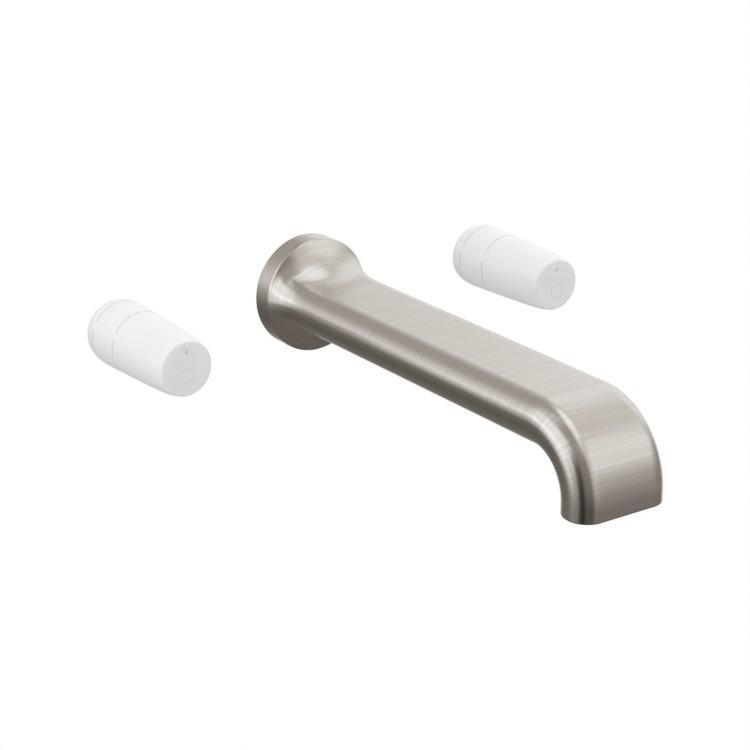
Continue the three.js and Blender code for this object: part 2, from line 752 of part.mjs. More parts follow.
function bonnet() {
  const back = BODY.spigotStart + SLIP;
  const shoulder = CARTRIDGE.shoulder + SLIP;
  const nut = solid(plate(hexagon(2 * (nutBore + BONNET.hexWall)), back, BONNET.hexFront));
  const sleeve = solid(
    turned([
      [0, BONNET.hexFront - PAST],
      [sleeveRadius, BONNET.hexFront - PAST],
      [sleeveRadius, BONNET.front - BONNET.chamfer],
      [sleeveRadius - BONNET.chamfer, BONNET.front],
      [0, BONNET.front],
    ]),
  );
  const spigotHole = solid(outwards(nutBore, back - PAST, shoulder));
  const bore = solid(outwards(bonnetBore, shoulder - 1, BONNET.front + PAST));
  return geometryOf(cut(join(nut, sleeve), spigotHole, bore));
}

// Guard -------------------------------------------------------------------------------------------

const guardBase = sleeveRadius + GUARD.gap + GUARD.wall;

// The guard's side from its back edge to its nose. Set in, it gives the inner wall.
function guardProfile(inset) {
  const round = Math.max(GUARD.noseRound - inset, GUARD.innerRound);
  const noseStart = GUARD.length - inset - round;
  const noseRadius = guardBase + GUARD_NOSE_SWELL - inset;
  const points = GUARD_SWELL.map(([out, swell]) => [guardBase + swell - inset, out]);
  points.push([noseRadius, noseStart]);
  const steps = 3;
  for (let i = 1; i <= steps; i++) {
    const angle = ((i / steps) * Math.PI) / 2;
    points.push([noseRadius - round + round * Math.cos(angle), noseStart + round * Math.sin(angle)]);
  }
  points.push([0, GUARD.length - inset]);
  return points;
}

function guard() {
  const outer = solid(turned([[0, 0], ...guardProfile(0)], 24));
  const hollowProfile = guardProfile(GUARD.wall);
  hollowProfile[0][1] = -PAST;
  const hollow = solid(turned([[0, -PAST], ...hollowProfile], 24));
  const ribFoot = sleeveRadius + SLIP;
  const ribTop = guardBase + GUARD.wall;
  const ribs = [];
  for (let i = 0; i < GUARD.ribs; i++) {
    const rib = new THREE.BoxGeometry(ribTop - ribFoot, GUARD.ribEnd, GUARD.ribWidth);
    rib.translate((ribTop + ribFoot) / 2, -GUARD.ribEnd / 2 - 1, 0);
    ribs.push(solid(rib.rotateY(((i + 0.5) / GUARD.ribs) * 2 * Math.PI)));
  }
  const ribsInside = join(...ribs).intersect(outer);
  return geometryOf(join(cut(outer, hollow), ribsInside));
}

// Assembly ----------------------------------------------------------------------------------------

function piece(name, geometry, material) {
  const mesh = new THREE.Mesh(geometry, material);
  mesh.name = name;
  return mesh;
}

const faucet = new THREE.Group();
faucet.add(
  piece('spout_shell', spoutShell(), nickel),
  piece('flange_gasket', flangeGasket(), rubber),
  piece('spout_tube_oring_rear', spoutSeal(SPOUT.grooveOuts[0]), rubber),
  piece('spout_tube_oring_front', spoutSeal(SPOUT.grooveOuts[1]), rubber),
  piece('spout_set_screw', setScrew(), steel),
  piece('outlet_gasket', outletGasket(), rubber),
  piece('debris_screen', debrisScreen(), steel),
  piece('stream_straightener', streamStraightener(), greyPlastic),
  piece('spout_tube', spoutTube(), copper),
  piece('outlet_tee', outletTee(), brass),
  piece('mounting_bracket', mountingBracket(), zinc),
);

// One valve with its guard. It faces out of the wall, and inward is +1 or -1 towards the spout along X.
function valve(side, inward) {
  const group = new THREE.Group();
  const leftScrew = piece(`${side}_bracket_screw_left`, bracketScrew(), steel);
  leftScrew.position.x = -earScrew;
  const rightScrew = piece(`${side}_bracket_screw_right`, bracketScrew(), steel);
  rightScrew.position.x = earScrew;
  group.add(
    piece(`${side}_valve_body`, valveBody(inward), brass),
    piece(`${side}_inlet_nipple`, inletNipple(), brass),
    piece(`${side}_crossover_tube`, crossoverTube(inward), copper),
    leftScrew,
    rightScrew,
    piece(`${side}_seat_seal`, seatSeal(), rubber),
    piece(`${side}_fixed_disc`, fixedDisc(), ceramic),
    piece(`${side}_cartridge_housing`, cartridgeHousing(), brass),
    piece(`${side}_cartridge_oring`, cartridgeSeal(), rubber),
    piece(`${side}_thrust_washer`, thrustWasher(), whitePlastic),
    piece(`${side}_bonnet`, bonnet(), brass),
    piece(`${side}_moving_disc`, movingDisc(), ceramic),
    piece(`${side}_stem`, stem(inward), brass),
    piece(`${side}_stem_oring`, stemSeal(), rubber),
    piece(`${side}_stem_clip`, stemClip(), steel),
    piece(`${side}_guard`, guard(), whitePlastic),
  );
  group.position.x = (-inward * VALVE_CENTRES) / 2;
  return group;
}

faucet.add(valve('hot', 1), valve('cold', -1));

export default faucet;
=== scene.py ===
import math
import bmesh
import bpy
from mathutils import Matrix, Vector
from mathutils.geometry import interpolate_bezier


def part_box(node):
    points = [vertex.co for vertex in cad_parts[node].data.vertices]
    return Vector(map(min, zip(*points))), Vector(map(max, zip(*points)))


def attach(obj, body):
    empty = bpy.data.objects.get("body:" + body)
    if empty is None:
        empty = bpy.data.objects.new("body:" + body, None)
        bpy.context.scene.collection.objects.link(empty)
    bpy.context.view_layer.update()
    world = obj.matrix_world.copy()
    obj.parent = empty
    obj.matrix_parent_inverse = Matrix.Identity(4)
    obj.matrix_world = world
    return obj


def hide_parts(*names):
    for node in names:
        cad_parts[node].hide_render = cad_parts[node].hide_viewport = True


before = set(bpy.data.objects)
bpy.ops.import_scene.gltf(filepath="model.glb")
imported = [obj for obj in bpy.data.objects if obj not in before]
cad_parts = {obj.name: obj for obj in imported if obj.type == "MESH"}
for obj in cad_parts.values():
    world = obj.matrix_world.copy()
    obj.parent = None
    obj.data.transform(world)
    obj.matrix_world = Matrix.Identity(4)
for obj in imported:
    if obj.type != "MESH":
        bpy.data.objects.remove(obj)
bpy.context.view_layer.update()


# ---- Mounting bracket -------------------------------------------------------------------------------
# A strip of sheet steel, punched, deburred and zinc plated, that stands behind the wall. Long holes at
# its ends take the wood screws, and both valves are screwed to its front.

MM = 0.001  # pieces are drawn in millimetres and brought to metres when their mesh is made


def limits(node):
    """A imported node's lowest and highest corners, in millimetres."""
    low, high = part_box(node)
    return low / MM, high / MM


def middle_x(node):
    """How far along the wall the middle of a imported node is."""
    low, high = limits(node)
    return (low.x + high.x) / 2


def shade(piece, sharp):
    """Smooth shading, except at edges that turn by more than the sharp angle."""
    piece.data.shade_smooth()
    piece.data.set_sharp_from_angle(angle=math.radians(sharp))


def make_piece(bm, name, sharp=35):
    """Makes a piece of a drawing, which is used up."""
    bmesh.ops.scale(bm, vec=(MM, MM, MM), verts=bm.verts)
    mesh = bpy.data.meshes.new(name)
    bm.to_mesh(mesh)
    bm.free()
    piece = bpy.data.objects.new(name, mesh)
    bpy.context.scene.collection.objects.link(piece)
    shade(piece, sharp)
    return piece


def settle(piece, sharp=35):
    """Makes a piece's modifiers part of its mesh."""
    depsgraph = bpy.context.evaluated_depsgraph_get()
    finished = bpy.data.meshes.new_from_object(piece.evaluated_get(depsgraph))
    piece.modifiers.clear()
    piece.data = finished
    shade(piece, sharp)


def combine(piece, operation, *shapes, sharp=35):
    """Joins other solids to a piece (UNION), cuts them out of it (DIFFERENCE) or trims it (INTERSECT).

    Each of them is a drawing or a finished piece, and is used up.
    """
    solids = []
    for shape in shapes:
        drawn = isinstance(shape, bmesh.types.BMesh)
        solids.append(make_piece(shape, "solid") if drawn else shape)
    for solid in solids:
        step = piece.modifiers.new("Shape", "BOOLEAN")
        step.operation = operation
        step.solver = "MANIFOLD"
        step.object = solid
    settle(piece, sharp)
    for solid in solids:
        bpy.data.objects.remove(solid)


def soften(piece, width):
    """Breaks the sharp edges of a piece, as deburring does, and keeps its large faces flat."""
    step = piece.modifiers.new("Deburred", "BEVEL")
    step.width = width * MM
    step.segments = 2
    step.limit_method = "ANGLE"
    step.angle_limit = math.radians(40)
    settle(piece)
    even = piece.modifiers.new("Even faces", "WEIGHTED_NORMAL")
    even.keep_sharp = True


def give(piece, material, slot, body, *nodes):
    """Gives a piece its material, its body, and the nodes it stands for. The slot argument is not used."""
    piece.data.materials.clear()
    piece.data.materials.append(material)
    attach(piece, body)
    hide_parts(*nodes)


def block(low, high):
    """A square-edged block between two corners."""
    bm = bmesh.new()
    middle = (Vector(low) + Vector(high)) / 2
    size = Vector(high) - Vector(low)
    bmesh.ops.create_cube(bm, size=1, matrix=Matrix.Translation(middle) @ Matrix.Diagonal((*size, 1)))
    return bm


def round_block(low, high, radius, segments=8):
    """A block whose four edges that point out of the wall are rounded."""
    bm = block(low, high)
    outward = []
    for edge in bm.edges:
        run = edge.verts[1].co - edge.verts[0].co
        if abs(run.y) > 0.9 * run.length:
            outward.append(edge)
    bmesh.ops.bevel(
        bm, geom=outward, offset=radius, offset_type="OFFSET", segments=segments,
        profile=0.5, affect="EDGES", clamp_overlap=True, material=-1,
    )
    return bm


def turned(profile, closed=False, steps=72):
    """Spins a profile of (radius, out) points about the axis that points out of the wall."""
    bm = bmesh.new()
    points = [bm.verts.new((radius, -out, 0)) for radius, out in profile]
    lines = [bm.edges.new(pair) for pair in zip(points, points[1:])]
    if closed:
        lines.append(bm.edges.new((points[-1], points[0])))
    bmesh.ops.spin(
        bm, geom=points + lines, cent=(0, 0, 0), axis=(0, 1, 0), angle=2 * math.pi,
        steps=steps, use_merge=True,
    )
    bmesh.ops.remove_doubles(bm, verts=bm.verts, dist=1e-4)
    bmesh.ops.recalc_face_normals(bm, faces=bm.faces)
    return bm


def rod(radius, start, end, steps=48):
    """A plain round bar between two distances out of the wall."""
    return turned([(0, start), (radius, start), (radius, end), (0, end)], steps=steps)


OUTWARDS = Matrix.Identity(4)
ALONG_WALL = Matrix.Rotation(math.pi / 2, 4, "Z")  # turns what points out of the wall to point along +X
UPRIGHT = Matrix.Rotation(-math.pi / 2, 4, "X")  # turns it to point up


def place(bm, turn, *move):
    """Turns a drawing and moves it to where it belongs."""
    bmesh.ops.transform(bm, matrix=Matrix.Translation(Vector(move)) @ turn, verts=bm.verts)
    return bm


def tree_node(tree, kind, inputs=None, **settings):
    """Adds a shader node with its settings, and sets or links each of the inputs given."""
    made = tree.nodes.new("ShaderNode" + kind)
    for name, value in settings.items():
        setattr(made, name, value)
    for socket, value in (inputs or {}).items():
        if isinstance(value, bpy.types.NodeSocket):
            tree.links.new(value, made.inputs[socket])
        else:
            made.inputs[socket].default_value = value
    return made


def new_group(name, inputs, outputs):
    """An empty shader node group with named sockets."""
    group = bpy.data.node_groups.new(name, "ShaderNodeTree")
    for label, kind in inputs:
        group.interface.new_socket(name=label, in_out="INPUT", socket_type="NodeSocket" + kind)
    for label, kind in outputs:
        group.interface.new_socket(name=label, in_out="OUTPUT", socket_type="NodeSocket" + kind)
    return group, group.nodes.new("NodeGroupInput").outputs, group.nodes.new("NodeGroupOutput").inputs


def mottle_group():
    """Cloudy patches under a fine grain, and the slight unevenness that goes with the grain."""
    group, entry, result = new_group(
        "mottle",
        [("Vector", "Vector"), ("Patches", "Float"), ("Grain", "Float"), ("Depth", "Float")],
        [("Tone", "Float"), ("Normal", "Vector")],
    )
    patches = tree_node(group, "TexNoise", {
        "Vector": entry["Vector"], "Scale": entry["Patches"], "Detail": 4.0, "Roughness": 0.6,
    })
    grain = tree_node(group, "TexNoise", {
        "Vector": entry["Vector"], "Scale": entry["Grain"], "Detail": 2.0, "Roughness": 0.6,
    })
    both = tree_node(group, "Math", {0: patches.outputs[0], 1: grain.outputs[0]}, operation="ADD")
    tone = tree_node(group, "MapRange", {"Value": both.outputs[0], "From Min": 0.7, "From Max": 1.3})
    bump = tree_node(group, "Bump", {
        "Strength": 1.0, "Distance": entry["Depth"], "Height": grain.outputs[0],
    })
    group.links.new(tone.outputs[0], result["Tone"])
    group.links.new(bump.outputs["Normal"], result["Normal"])
    return group


mottle = mottle_group()


def start_material(name, metallic):
    """A new material, its node tree and its shader."""
    material = bpy.data.materials.new(name)
    material.use_nodes = True
    shader = material.node_tree.nodes["Principled BSDF"]
    shader.inputs["Metallic"].default_value = metallic
    return material, material.node_tree, shader


def finish_material(tree, shader, tone, normal, dull, bright, rough, smooth):
    """Lets the tone of an effect lead from a dull, rough finish to a bright, smooth one."""
    colour = tree_node(tree, "Mix", {0: tone, 6: (*dull, 1), 7: (*bright, 1)}, data_type="RGBA")
    sheen = tree_node(tree, "MapRange", {"Value": tone, "To Min": rough, "To Max": smooth})
    tree.links.new(colour.outputs[2], shader.inputs["Base Color"])
    tree.links.new(sheen.outputs[0], shader.inputs["Roughness"])
    tree.links.new(normal, shader.inputs["Normal"])


def mottled(name, dull, bright, rough, smooth, patches, grain, depth, metallic=0.0):
    """A material with patches and grain. The scales are in waves to the metre, the depth is in metres."""
    material, tree, shader = start_material(name, metallic)
    effect = tree_node(tree, "Group", {
        "Vector": tree_node(tree, "TexCoord").outputs["Object"],
        "Patches": patches, "Grain": grain, "Depth": depth,
    }, node_tree=mottle)
    finish_material(
        tree, shader, effect.outputs["Tone"], effect.outputs["Normal"], dull, bright, rough, smooth,
    )
    return material


zinc = mottled(
    "zinc_plate", (0.40, 0.42, 0.43), (0.62, 0.64, 0.65), 0.52, 0.30, 90, 1500, 0.00002, metallic=1.0,
)

SHEET_CORNER = 3.0
LONG_HOLE_RADIUS = 3.0
LONG_HOLE_HALF = 5.5  # half the length of a long hole, with its round ends
LONG_HOLE_FROM_END = 9.0
LONG_HOLE_FROM_EDGE = 6.0
SCREW_HOLE_RADIUS = 2.7
PAST = 1.0  # how far a cut runs past the face that it opens

sheet_low, sheet_high = limits("mounting_bracket")
holes = []
for x in (sheet_low.x + LONG_HOLE_FROM_END, sheet_high.x - LONG_HOLE_FROM_END):
    for z in (sheet_low.z + LONG_HOLE_FROM_EDGE, sheet_high.z - LONG_HOLE_FROM_EDGE):
        holes.append(round_block(
            (x - LONG_HOLE_HALF, sheet_low.y - PAST, z - LONG_HOLE_RADIUS),
            (x + LONG_HOLE_HALF, sheet_high.y + PAST, z + LONG_HOLE_RADIUS),
            0.999 * LONG_HOLE_RADIUS,
        ))
for side in ("hot", "cold"):
    for end in ("left", "right"):
        hole = rod(SCREW_HOLE_RADIUS, -sheet_high.y - PAST, -sheet_low.y + PAST)
        holes.append(place(hole, OUTWARDS, middle_x(f"{side}_bracket_screw_{end}"), 0, 0))
bracket = make_piece(round_block(sheet_low, sheet_high, SHEET_CORNER), "bracket_strip")
combine(bracket, "DIFFERENCE", *holes)
soften(bracket, 0.3)
give(bracket, zinc, "zinc_steel", "fixed_set", "mounting_bracket")


# ---- Bracket screws ---------------------------------------------------------------------------------
# Four stainless socket screws with domed heads, two for each valve, driven through the valve's ears
# into the bracket.

QUARTER = math.pi / 2


def corner_of(across_flats):
    """How far a hexagon's corners are from its middle."""
    return across_flats / 2 / math.cos(math.pi / 6)


def hex_bar(across_flats, start, end):
    """A six-sided bar that points out of the wall."""
    corner = corner_of(across_flats)
    bm = bmesh.new()
    bmesh.ops.create_cone(
        bm, cap_ends=True, segments=6, radius1=corner, radius2=corner, depth=end - start,
        matrix=Matrix.Translation((0, -(start + end) / 2, 0)) @ UPRIGHT.inverted()
        @ Matrix.Rotation(math.pi / 6, 4, "Z"),
    )
    return bm


def threaded(radius, depth, pitch, start, end):
    """The profile of a thread, as (radius, out) points from its start to its end.

    Each turn rises to a narrow crest in its middle, and its root is twice as wide.
    """
    points = []
    turns = max(1, int((end - start) / pitch))
    step = (end - start) / turns
    for turn in range(turns):
        at = start + turn * step
        points += [(radius - depth, at + 0.1 * step), (radius, at + 0.45 * step),
                   (radius, at + 0.55 * step), (radius - depth, at + 0.9 * step)]
    return points


def slide(piece, x):
    """Moves a finished piece along the wall."""
    piece.data.transform(Matrix.Translation((x * MM, 0, 0)))


stainless = mottled(
    "plain_stainless", (0.42, 0.42, 0.43), (0.60, 0.60, 0.61), 0.38, 0.24, 400, 4000, 0.000008,
    metallic=1.0,
)

SCREW_RADIUS = 2.4
SCREW_POINT = 0.6  # chamfer of its end
SCREW_THREAD = (0.35, 0.8)  # depth and pitch
SCREW_HEAD_RADIUS = 4.4
SCREW_HEAD_HEIGHT = 3.2
SCREW_FLAT_SHARE = 0.55  # of the head's radius, that the flat on top takes up
SCREW_DOME_SHARE = 0.6  # of the head's height, that is domed
SCREW_KEY = 4.4  # across the flats of the socket
SCREW_KEY_DEPTH = 2.0
DOME_STEPS = 6

for side in ("hot", "cold"):
    for end in ("left", "right"):
        node = f"{side}_bracket_screw_{end}"
        screw_low, screw_high = limits(node)
        top = -screw_low.y
        tip = -screw_high.y
        seat = top - SCREW_HEAD_HEIGHT
        dome = []
        for i in range(DOME_STEPS + 1):
            angle = QUARTER * i / DOME_STEPS
            share = SCREW_FLAT_SHARE + (1 - SCREW_FLAT_SHARE) * math.cos(angle)
            drop = (1 - math.sin(angle)) * SCREW_DOME_SHARE * SCREW_HEAD_HEIGHT
            dome.append((share * SCREW_HEAD_RADIUS, top - drop))
        thread = threaded(SCREW_RADIUS, *SCREW_THREAD, tip + SCREW_POINT, seat - 0.4)
        profile = [(0, tip), (SCREW_RADIUS - SCREW_POINT, tip), *thread, (SCREW_RADIUS, seat)]
        profile += [(SCREW_HEAD_RADIUS - 0.2, seat), (SCREW_HEAD_RADIUS, seat + 0.2), *dome, (0, top)]
        screw = make_piece(turned(profile), f"{side}_socket_screw_{end}")
        combine(screw, "DIFFERENCE", hex_bar(SCREW_KEY, top - SCREW_KEY_DEPTH, top + PAST))
        slide(screw, middle_x(node))
        give(screw, stainless, "stainless", "fixed_set", node)


# ---- Valve bodies -----------------------------------------------------------------------------------
# Forged brass: a barrel with a threaded spigot in front, an outlet towards the tee, an inlet below and
# two ears behind. The bores and the ends are machined, and the rest keeps its forged skin.

brass = mottled(
    "forged_brass", (0.50, 0.33, 0.13), (0.78, 0.56, 0.25), 0.46, 0.27, 55, 1300, 0.00004, metallic=1.0,
)

RUN_OUT = -38.5  # the tubes between the valves and the tee lie this far out
TUBE_SOCKET_RADIUS = 8.24
FITTING_RADIUS = 10.84
WATER_RADIUS = 6.84
BARREL_RADIUS = 15.5
SPIGOT_RADIUS = 13.7
SPIGOT_BACK = -27.0
CARTRIDGE_BORE = 12.0
CARTRIDGE_BORE_BACK = -47.0
SEAT_RADIUS = 5.8
SEAT_BACK = -50.0
CHAMBER_RADIUS = 9.0
CHAMBER_BACK = -63.0
INLET_OUT = -56.0
INLET_RADIUS = 13.38
INLET_BORE = 5.5
NIPPLE_SOCKET_RADIUS = 10.78
NIPPLE_SOCKET_TOP = -18.0
OUTLET_SOCKET_DEPTH = 12.0
EAR_THICKNESS = 4.0
EAR_HALF_HEIGHT = 8.0
EAR_CORNER = 6.0
FORGED_FILLET = 2.6
FILLET_STEPS = 6
BODY_EDGE = 0.8  # chamfers of the barrel and the inlet
FITTING_EDGE = 0.5
SPIGOT_THREAD = (0.7, 1.4)


def branch(radius, root, end, way=1):
    """A round branch that runs from a body's middle to its end, with a fillet where it leaves the body."""
    profile = [(0, 0), (radius + FORGED_FILLET, 0)]
    for i in range(FILLET_STEPS + 1):
        angle = QUARTER * i / FILLET_STEPS
        profile.append((
            radius + FORGED_FILLET * (1 - math.sin(angle)), root + FORGED_FILLET * (1 - math.cos(angle)),
        ))
    profile += [(radius, end - FITTING_EDGE), (radius - FITTING_EDGE, end), (0, end)]
    return turned([(at_radius, way * out) for at_radius, out in profile])


def axis_of(side):
    """The valve's place along the wall."""
    return middle_x(f"{side}_bonnet")


def towards_spout(side):
    """The way along the wall from a valve to the middle of the faucet."""
    return -math.copysign(1, axis_of(side))


for side in ("hot", "cold"):
    node = f"{side}_valve_body"
    body_low, body_high = limits(node)
    valve_x = axis_of(side)
    inward = towards_spout(side)
    back = -body_high.y
    front = -body_low.y
    outlet_end = (body_high.x - valve_x) if inward > 0 else (valve_x - body_low.x)
    ear_reach = (valve_x - body_low.x) if inward > 0 else (body_high.x - valve_x)
    thread_depth, thread_pitch = SPIGOT_THREAD
    barrel = turned([
        (0, back), (BARREL_RADIUS - BODY_EDGE, back), (BARREL_RADIUS, back + BODY_EDGE),
        (BARREL_RADIUS, SPIGOT_BACK - BODY_EDGE), (BARREL_RADIUS - BODY_EDGE, SPIGOT_BACK),
        (SPIGOT_RADIUS - thread_depth, SPIGOT_BACK),
        *threaded(SPIGOT_RADIUS, thread_depth, thread_pitch, SPIGOT_BACK + 0.4, front - 0.6),
        (SPIGOT_RADIUS - BODY_EDGE, front), (0, front),
    ], steps=96)
    body = make_piece(barrel, f"{side}_valve_forging")
    outlet = branch(FITTING_RADIUS, BARREL_RADIUS - PAST, outlet_end, inward)
    inlet = turned([
        (0, 0), (INLET_RADIUS, 0), (INLET_RADIUS, body_low.z + BODY_EDGE),
        (INLET_RADIUS - BODY_EDGE, body_low.z), (0, body_low.z),
    ])
    ears = round_block(
        (-ear_reach, -back - EAR_THICKNESS, -EAR_HALF_HEIGHT), (ear_reach, -back, EAR_HALF_HEIGHT),
        EAR_CORNER,
    )
    combine(
        body, "UNION",
        place(outlet, ALONG_WALL, 0, -RUN_OUT, 0), place(inlet, UPRIGHT, 0, -INLET_OUT, 0), ears,
    )
    socket_start = inward * (outlet_end - OUTLET_SOCKET_DEPTH)
    socket_end = inward * (outlet_end + PAST)
    bores = [
        rod(CARTRIDGE_BORE, CARTRIDGE_BORE_BACK, front + PAST, 72),
        rod(SEAT_RADIUS, SEAT_BACK - PAST, CARTRIDGE_BORE_BACK + PAST),
        rod(CHAMBER_RADIUS, CHAMBER_BACK, SEAT_BACK),
        place(rod(WATER_RADIUS, 0, socket_end), ALONG_WALL, 0, -RUN_OUT, 0),
        place(rod(TUBE_SOCKET_RADIUS, socket_start, socket_end), ALONG_WALL, 0, -RUN_OUT, 0),
        place(rod(INLET_BORE, body_low.z - PAST, 0), UPRIGHT, 0, -INLET_OUT, 0),
        place(rod(NIPPLE_SOCKET_RADIUS, body_low.z - PAST, NIPPLE_SOCKET_TOP), UPRIGHT, 0, -INLET_OUT, 0),
    ]
    for end in ("left", "right"):
        hole = rod(SCREW_HOLE_RADIUS, back - PAST, back + EAR_THICKNESS + PAST)
        bores.append(place(hole, OUTWARDS, middle_x(f"{side}_bracket_screw_{end}") - valve_x, 0, 0))
    combine(body, "DIFFERENCE", *bores)
    slide(body, valve_x)
    give(body, brass, "brass", "fixed_set", node)


# ---- Inlet nipples ----------------------------------------------------------------------------------
# Short brass pipes that hang from the valves, with a tapered pipe thread at the lower end for the hot
# and cold supply.

NIPPLE_BORE = 7.4
PIPE_THREAD_LENGTH = 19.0
PIPE_THREAD_DEPTH = 0.9
PIPE_THREAD_PITCH = 1.81
PIPE_TAPER = 1 / 32  # of the radius, along the thread
NIPPLE_EDGE = 0.6
NIPPLE_REAM = 0.4  # chamfer inside its ends

machined_brass = mottled(
    "machined_brass", (0.62, 0.43, 0.18), (0.80, 0.60, 0.29), 0.36, 0.22, 120, 3000, 0.00001, metallic=1.0,
)

for side in ("hot", "cold"):
    node = f"{side}_inlet_nipple"
    pipe_low, pipe_high = limits(node)
    radius = (pipe_high.y - pipe_low.y) / 2
    bottom = pipe_low.z
    top = pipe_high.z
    thread_top = bottom + PIPE_THREAD_LENGTH
    thread = threaded(radius, PIPE_THREAD_DEPTH, PIPE_THREAD_PITCH, bottom + 0.8, thread_top)
    tapered = [(at_radius - (thread_top - z) * PIPE_TAPER, z) for at_radius, z in thread]
    nipple = turned([
        (NIPPLE_BORE + NIPPLE_REAM, bottom), (tapered[0][0] - 0.3, bottom), *tapered,
        (radius, thread_top + 0.8), (radius, top - NIPPLE_EDGE), (radius - NIPPLE_EDGE, top),
        (NIPPLE_BORE + NIPPLE_REAM, top), (NIPPLE_BORE, top - NIPPLE_REAM),
        (NIPPLE_BORE, bottom + NIPPLE_REAM),
    ], closed=True, steps=96)
    place(nipple, UPRIGHT, axis_of(side), -INLET_OUT, 0)
    nipple = make_piece(nipple, f"{side}_supply_nipple", sharp=28)
    give(nipple, machined_brass, "brass", "fixed_set", node)


# ---- Copper tubes -----------------------------------------------------------------------------------
# Two drawn copper tubes carry the water from the valves to the tee, and a third stands out of the wall
# and carries the spout. Their ends are cut square and reamed.

def streak_group():
    """Fine lines that run one way, as a drawing die or an abrasive belt leaves them.

    The vector that comes in is already squeezed along the lines.
    """
    group, entry, result = new_group(
        "streaks",
        [("Vector", "Vector"), ("Fine", "Float"), ("Coarse", "Float"), ("Depth", "Float")],
        [("Tone", "Float"), ("Normal", "Vector")],
    )
    fine = tree_node(group, "TexNoise", {
        "Vector": entry["Vector"], "Scale": entry["Fine"], "Detail": 3.0, "Roughness": 0.7,
    })
    coarse = tree_node(group, "TexNoise", {
        "Vector": entry["Vector"], "Scale": entry["Coarse"], "Detail": 2.0, "Roughness": 0.5,
    })
    both = tree_node(group, "Math", {0: fine.outputs[0], 1: coarse.outputs[0]}, operation="ADD")
    tone = tree_node(group, "MapRange", {"Value": both.outputs[0], "From Min": 0.6, "From Max": 1.4})
    bump = tree_node(group, "Bump", {
        "Strength": 1.0, "Distance": entry["Depth"], "Height": fine.outputs[0],
    })
    group.links.new(tone.outputs[0], result["Tone"])
    group.links.new(bump.outputs["Normal"], result["Normal"])
    return group


streaks = streak_group()


def streaked(name, dull, bright, rough, smooth, squeeze, fine, coarse, depth, along=None):
    """A metal with drawn lines: the noise is squeezed in the directions that the lines run.

    On a bent piece, an attribute gives the distance along it, in place of the way out of the wall.
    """
    material, tree, shader = start_material(name, 1.0)
    where = tree_node(tree, "TexCoord").outputs["Object"]
    if along:
        straight = tree_node(tree, "SeparateXYZ", {0: where})
        distance = tree_node(tree, "Attribute", attribute_name=along)
        where = tree_node(tree, "CombineXYZ", {
            0: straight.outputs[0], 1: distance.outputs["Fac"], 2: straight.outputs[2],
        }).outputs[0]
    squeezed = tree_node(tree, "VectorMath", {0: where, 1: squeeze}, operation="MULTIPLY")
    effect = tree_node(tree, "Group", {
        "Vector": squeezed.outputs[0], "Fine": fine, "Coarse": coarse, "Depth": depth,
    }, node_tree=streaks)
    finish_material(
        tree, shader, effect.outputs["Tone"], effect.outputs["Normal"], dull, bright, rough, smooth,
    )
    return material


COPPER_DULL = (0.42, 0.17, 0.09)
COPPER_BRIGHT = (0.80, 0.42, 0.27)
REAM = 0.3  # chamfer inside and outside a cut end

copper_along = streaked(
    "drawn_copper_along_wall", COPPER_DULL, COPPER_BRIGHT, 0.42, 0.24, (0.02, 1, 1), 1500, 220, 0.000008,
)
copper_out = streaked(
    "drawn_copper_out", COPPER_DULL, COPPER_BRIGHT, 0.42, 0.24, (1, 0.02, 1), 1500, 220, 0.000008,
)


def tube(outer, inner, start, end):
    """A tube with reamed ends, between two distances out of the wall."""
    return turned([
        (inner + REAM, start), (outer - REAM, start), (outer, start + REAM), (outer, end - REAM),
        (outer - REAM, end), (inner + REAM, end), (inner, end - REAM), (inner, start + REAM),
    ], closed=True)


for side in ("hot", "cold"):
    node = f"{side}_crossover_tube"
    tube_low, tube_high = limits(node)
    outer = (tube_high.z - tube_low.z) / 2
    crossover = tube(outer, WATER_RADIUS, tube_low.x, tube_high.x)
    place(crossover, ALONG_WALL, 0, -RUN_OUT, 0)
    crossover = make_piece(crossover, f"{side}_copper_run")
    give(crossover, copper_along, "copper", "fixed_set", node)

tube_low, tube_high = limits("spout_tube")
outer = (tube_high.z - tube_low.z) / 2
spout_pipe = make_piece(tube(outer, WATER_RADIUS, -tube_high.y, -tube_low.y), "spout_supply_pipe")
give(spout_pipe, copper_out, "copper", "fixed_set", "spout_tube")


# ---- Outlet tee -------------------------------------------------------------------------------------
# A forged brass tee in the middle, with a socket at each of its three ends for a copper tube.

tee_low, tee_high = limits("outlet_tee")
tee_reach = tee_high.x
tee_front = -tee_low.y
tee_socket = tee_reach - OUTLET_SOCKET_DEPTH
run_of_tee = turned([
    (0, -tee_reach), (FITTING_RADIUS - FITTING_EDGE, -tee_reach),
    (FITTING_RADIUS, FITTING_EDGE - tee_reach), (FITTING_RADIUS, tee_reach - FITTING_EDGE),
    (FITTING_RADIUS - FITTING_EDGE, tee_reach), (0, tee_reach),
])
tee = make_piece(place(run_of_tee, ALONG_WALL, 0, -RUN_OUT, 0), "brass_tee")
stem_of_tee = branch(FITTING_RADIUS, FITTING_RADIUS - PAST, tee_front - RUN_OUT)
combine(tee, "UNION", place(stem_of_tee, OUTWARDS, 0, -RUN_OUT, 0))
combine(
    tee, "DIFFERENCE",
    place(rod(WATER_RADIUS, -tee_reach - PAST, tee_reach + PAST), ALONG_WALL, 0, -RUN_OUT, 0),
    rod(WATER_RADIUS, RUN_OUT, tee_front + PAST),
    place(rod(TUBE_SOCKET_RADIUS, -tee_reach - PAST, -tee_socket), ALONG_WALL, 0, -RUN_OUT, 0),
    place(rod(TUBE_SOCKET_RADIUS, tee_socket, tee_reach + PAST), ALONG_WALL, 0, -RUN_OUT, 0),
    rod(TUBE_SOCKET_RADIUS, tee_front - OUTLET_SOCKET_DEPTH, tee_front + PAST),
)
give(tee, brass, "brass", "fixed_set", "outlet_tee")


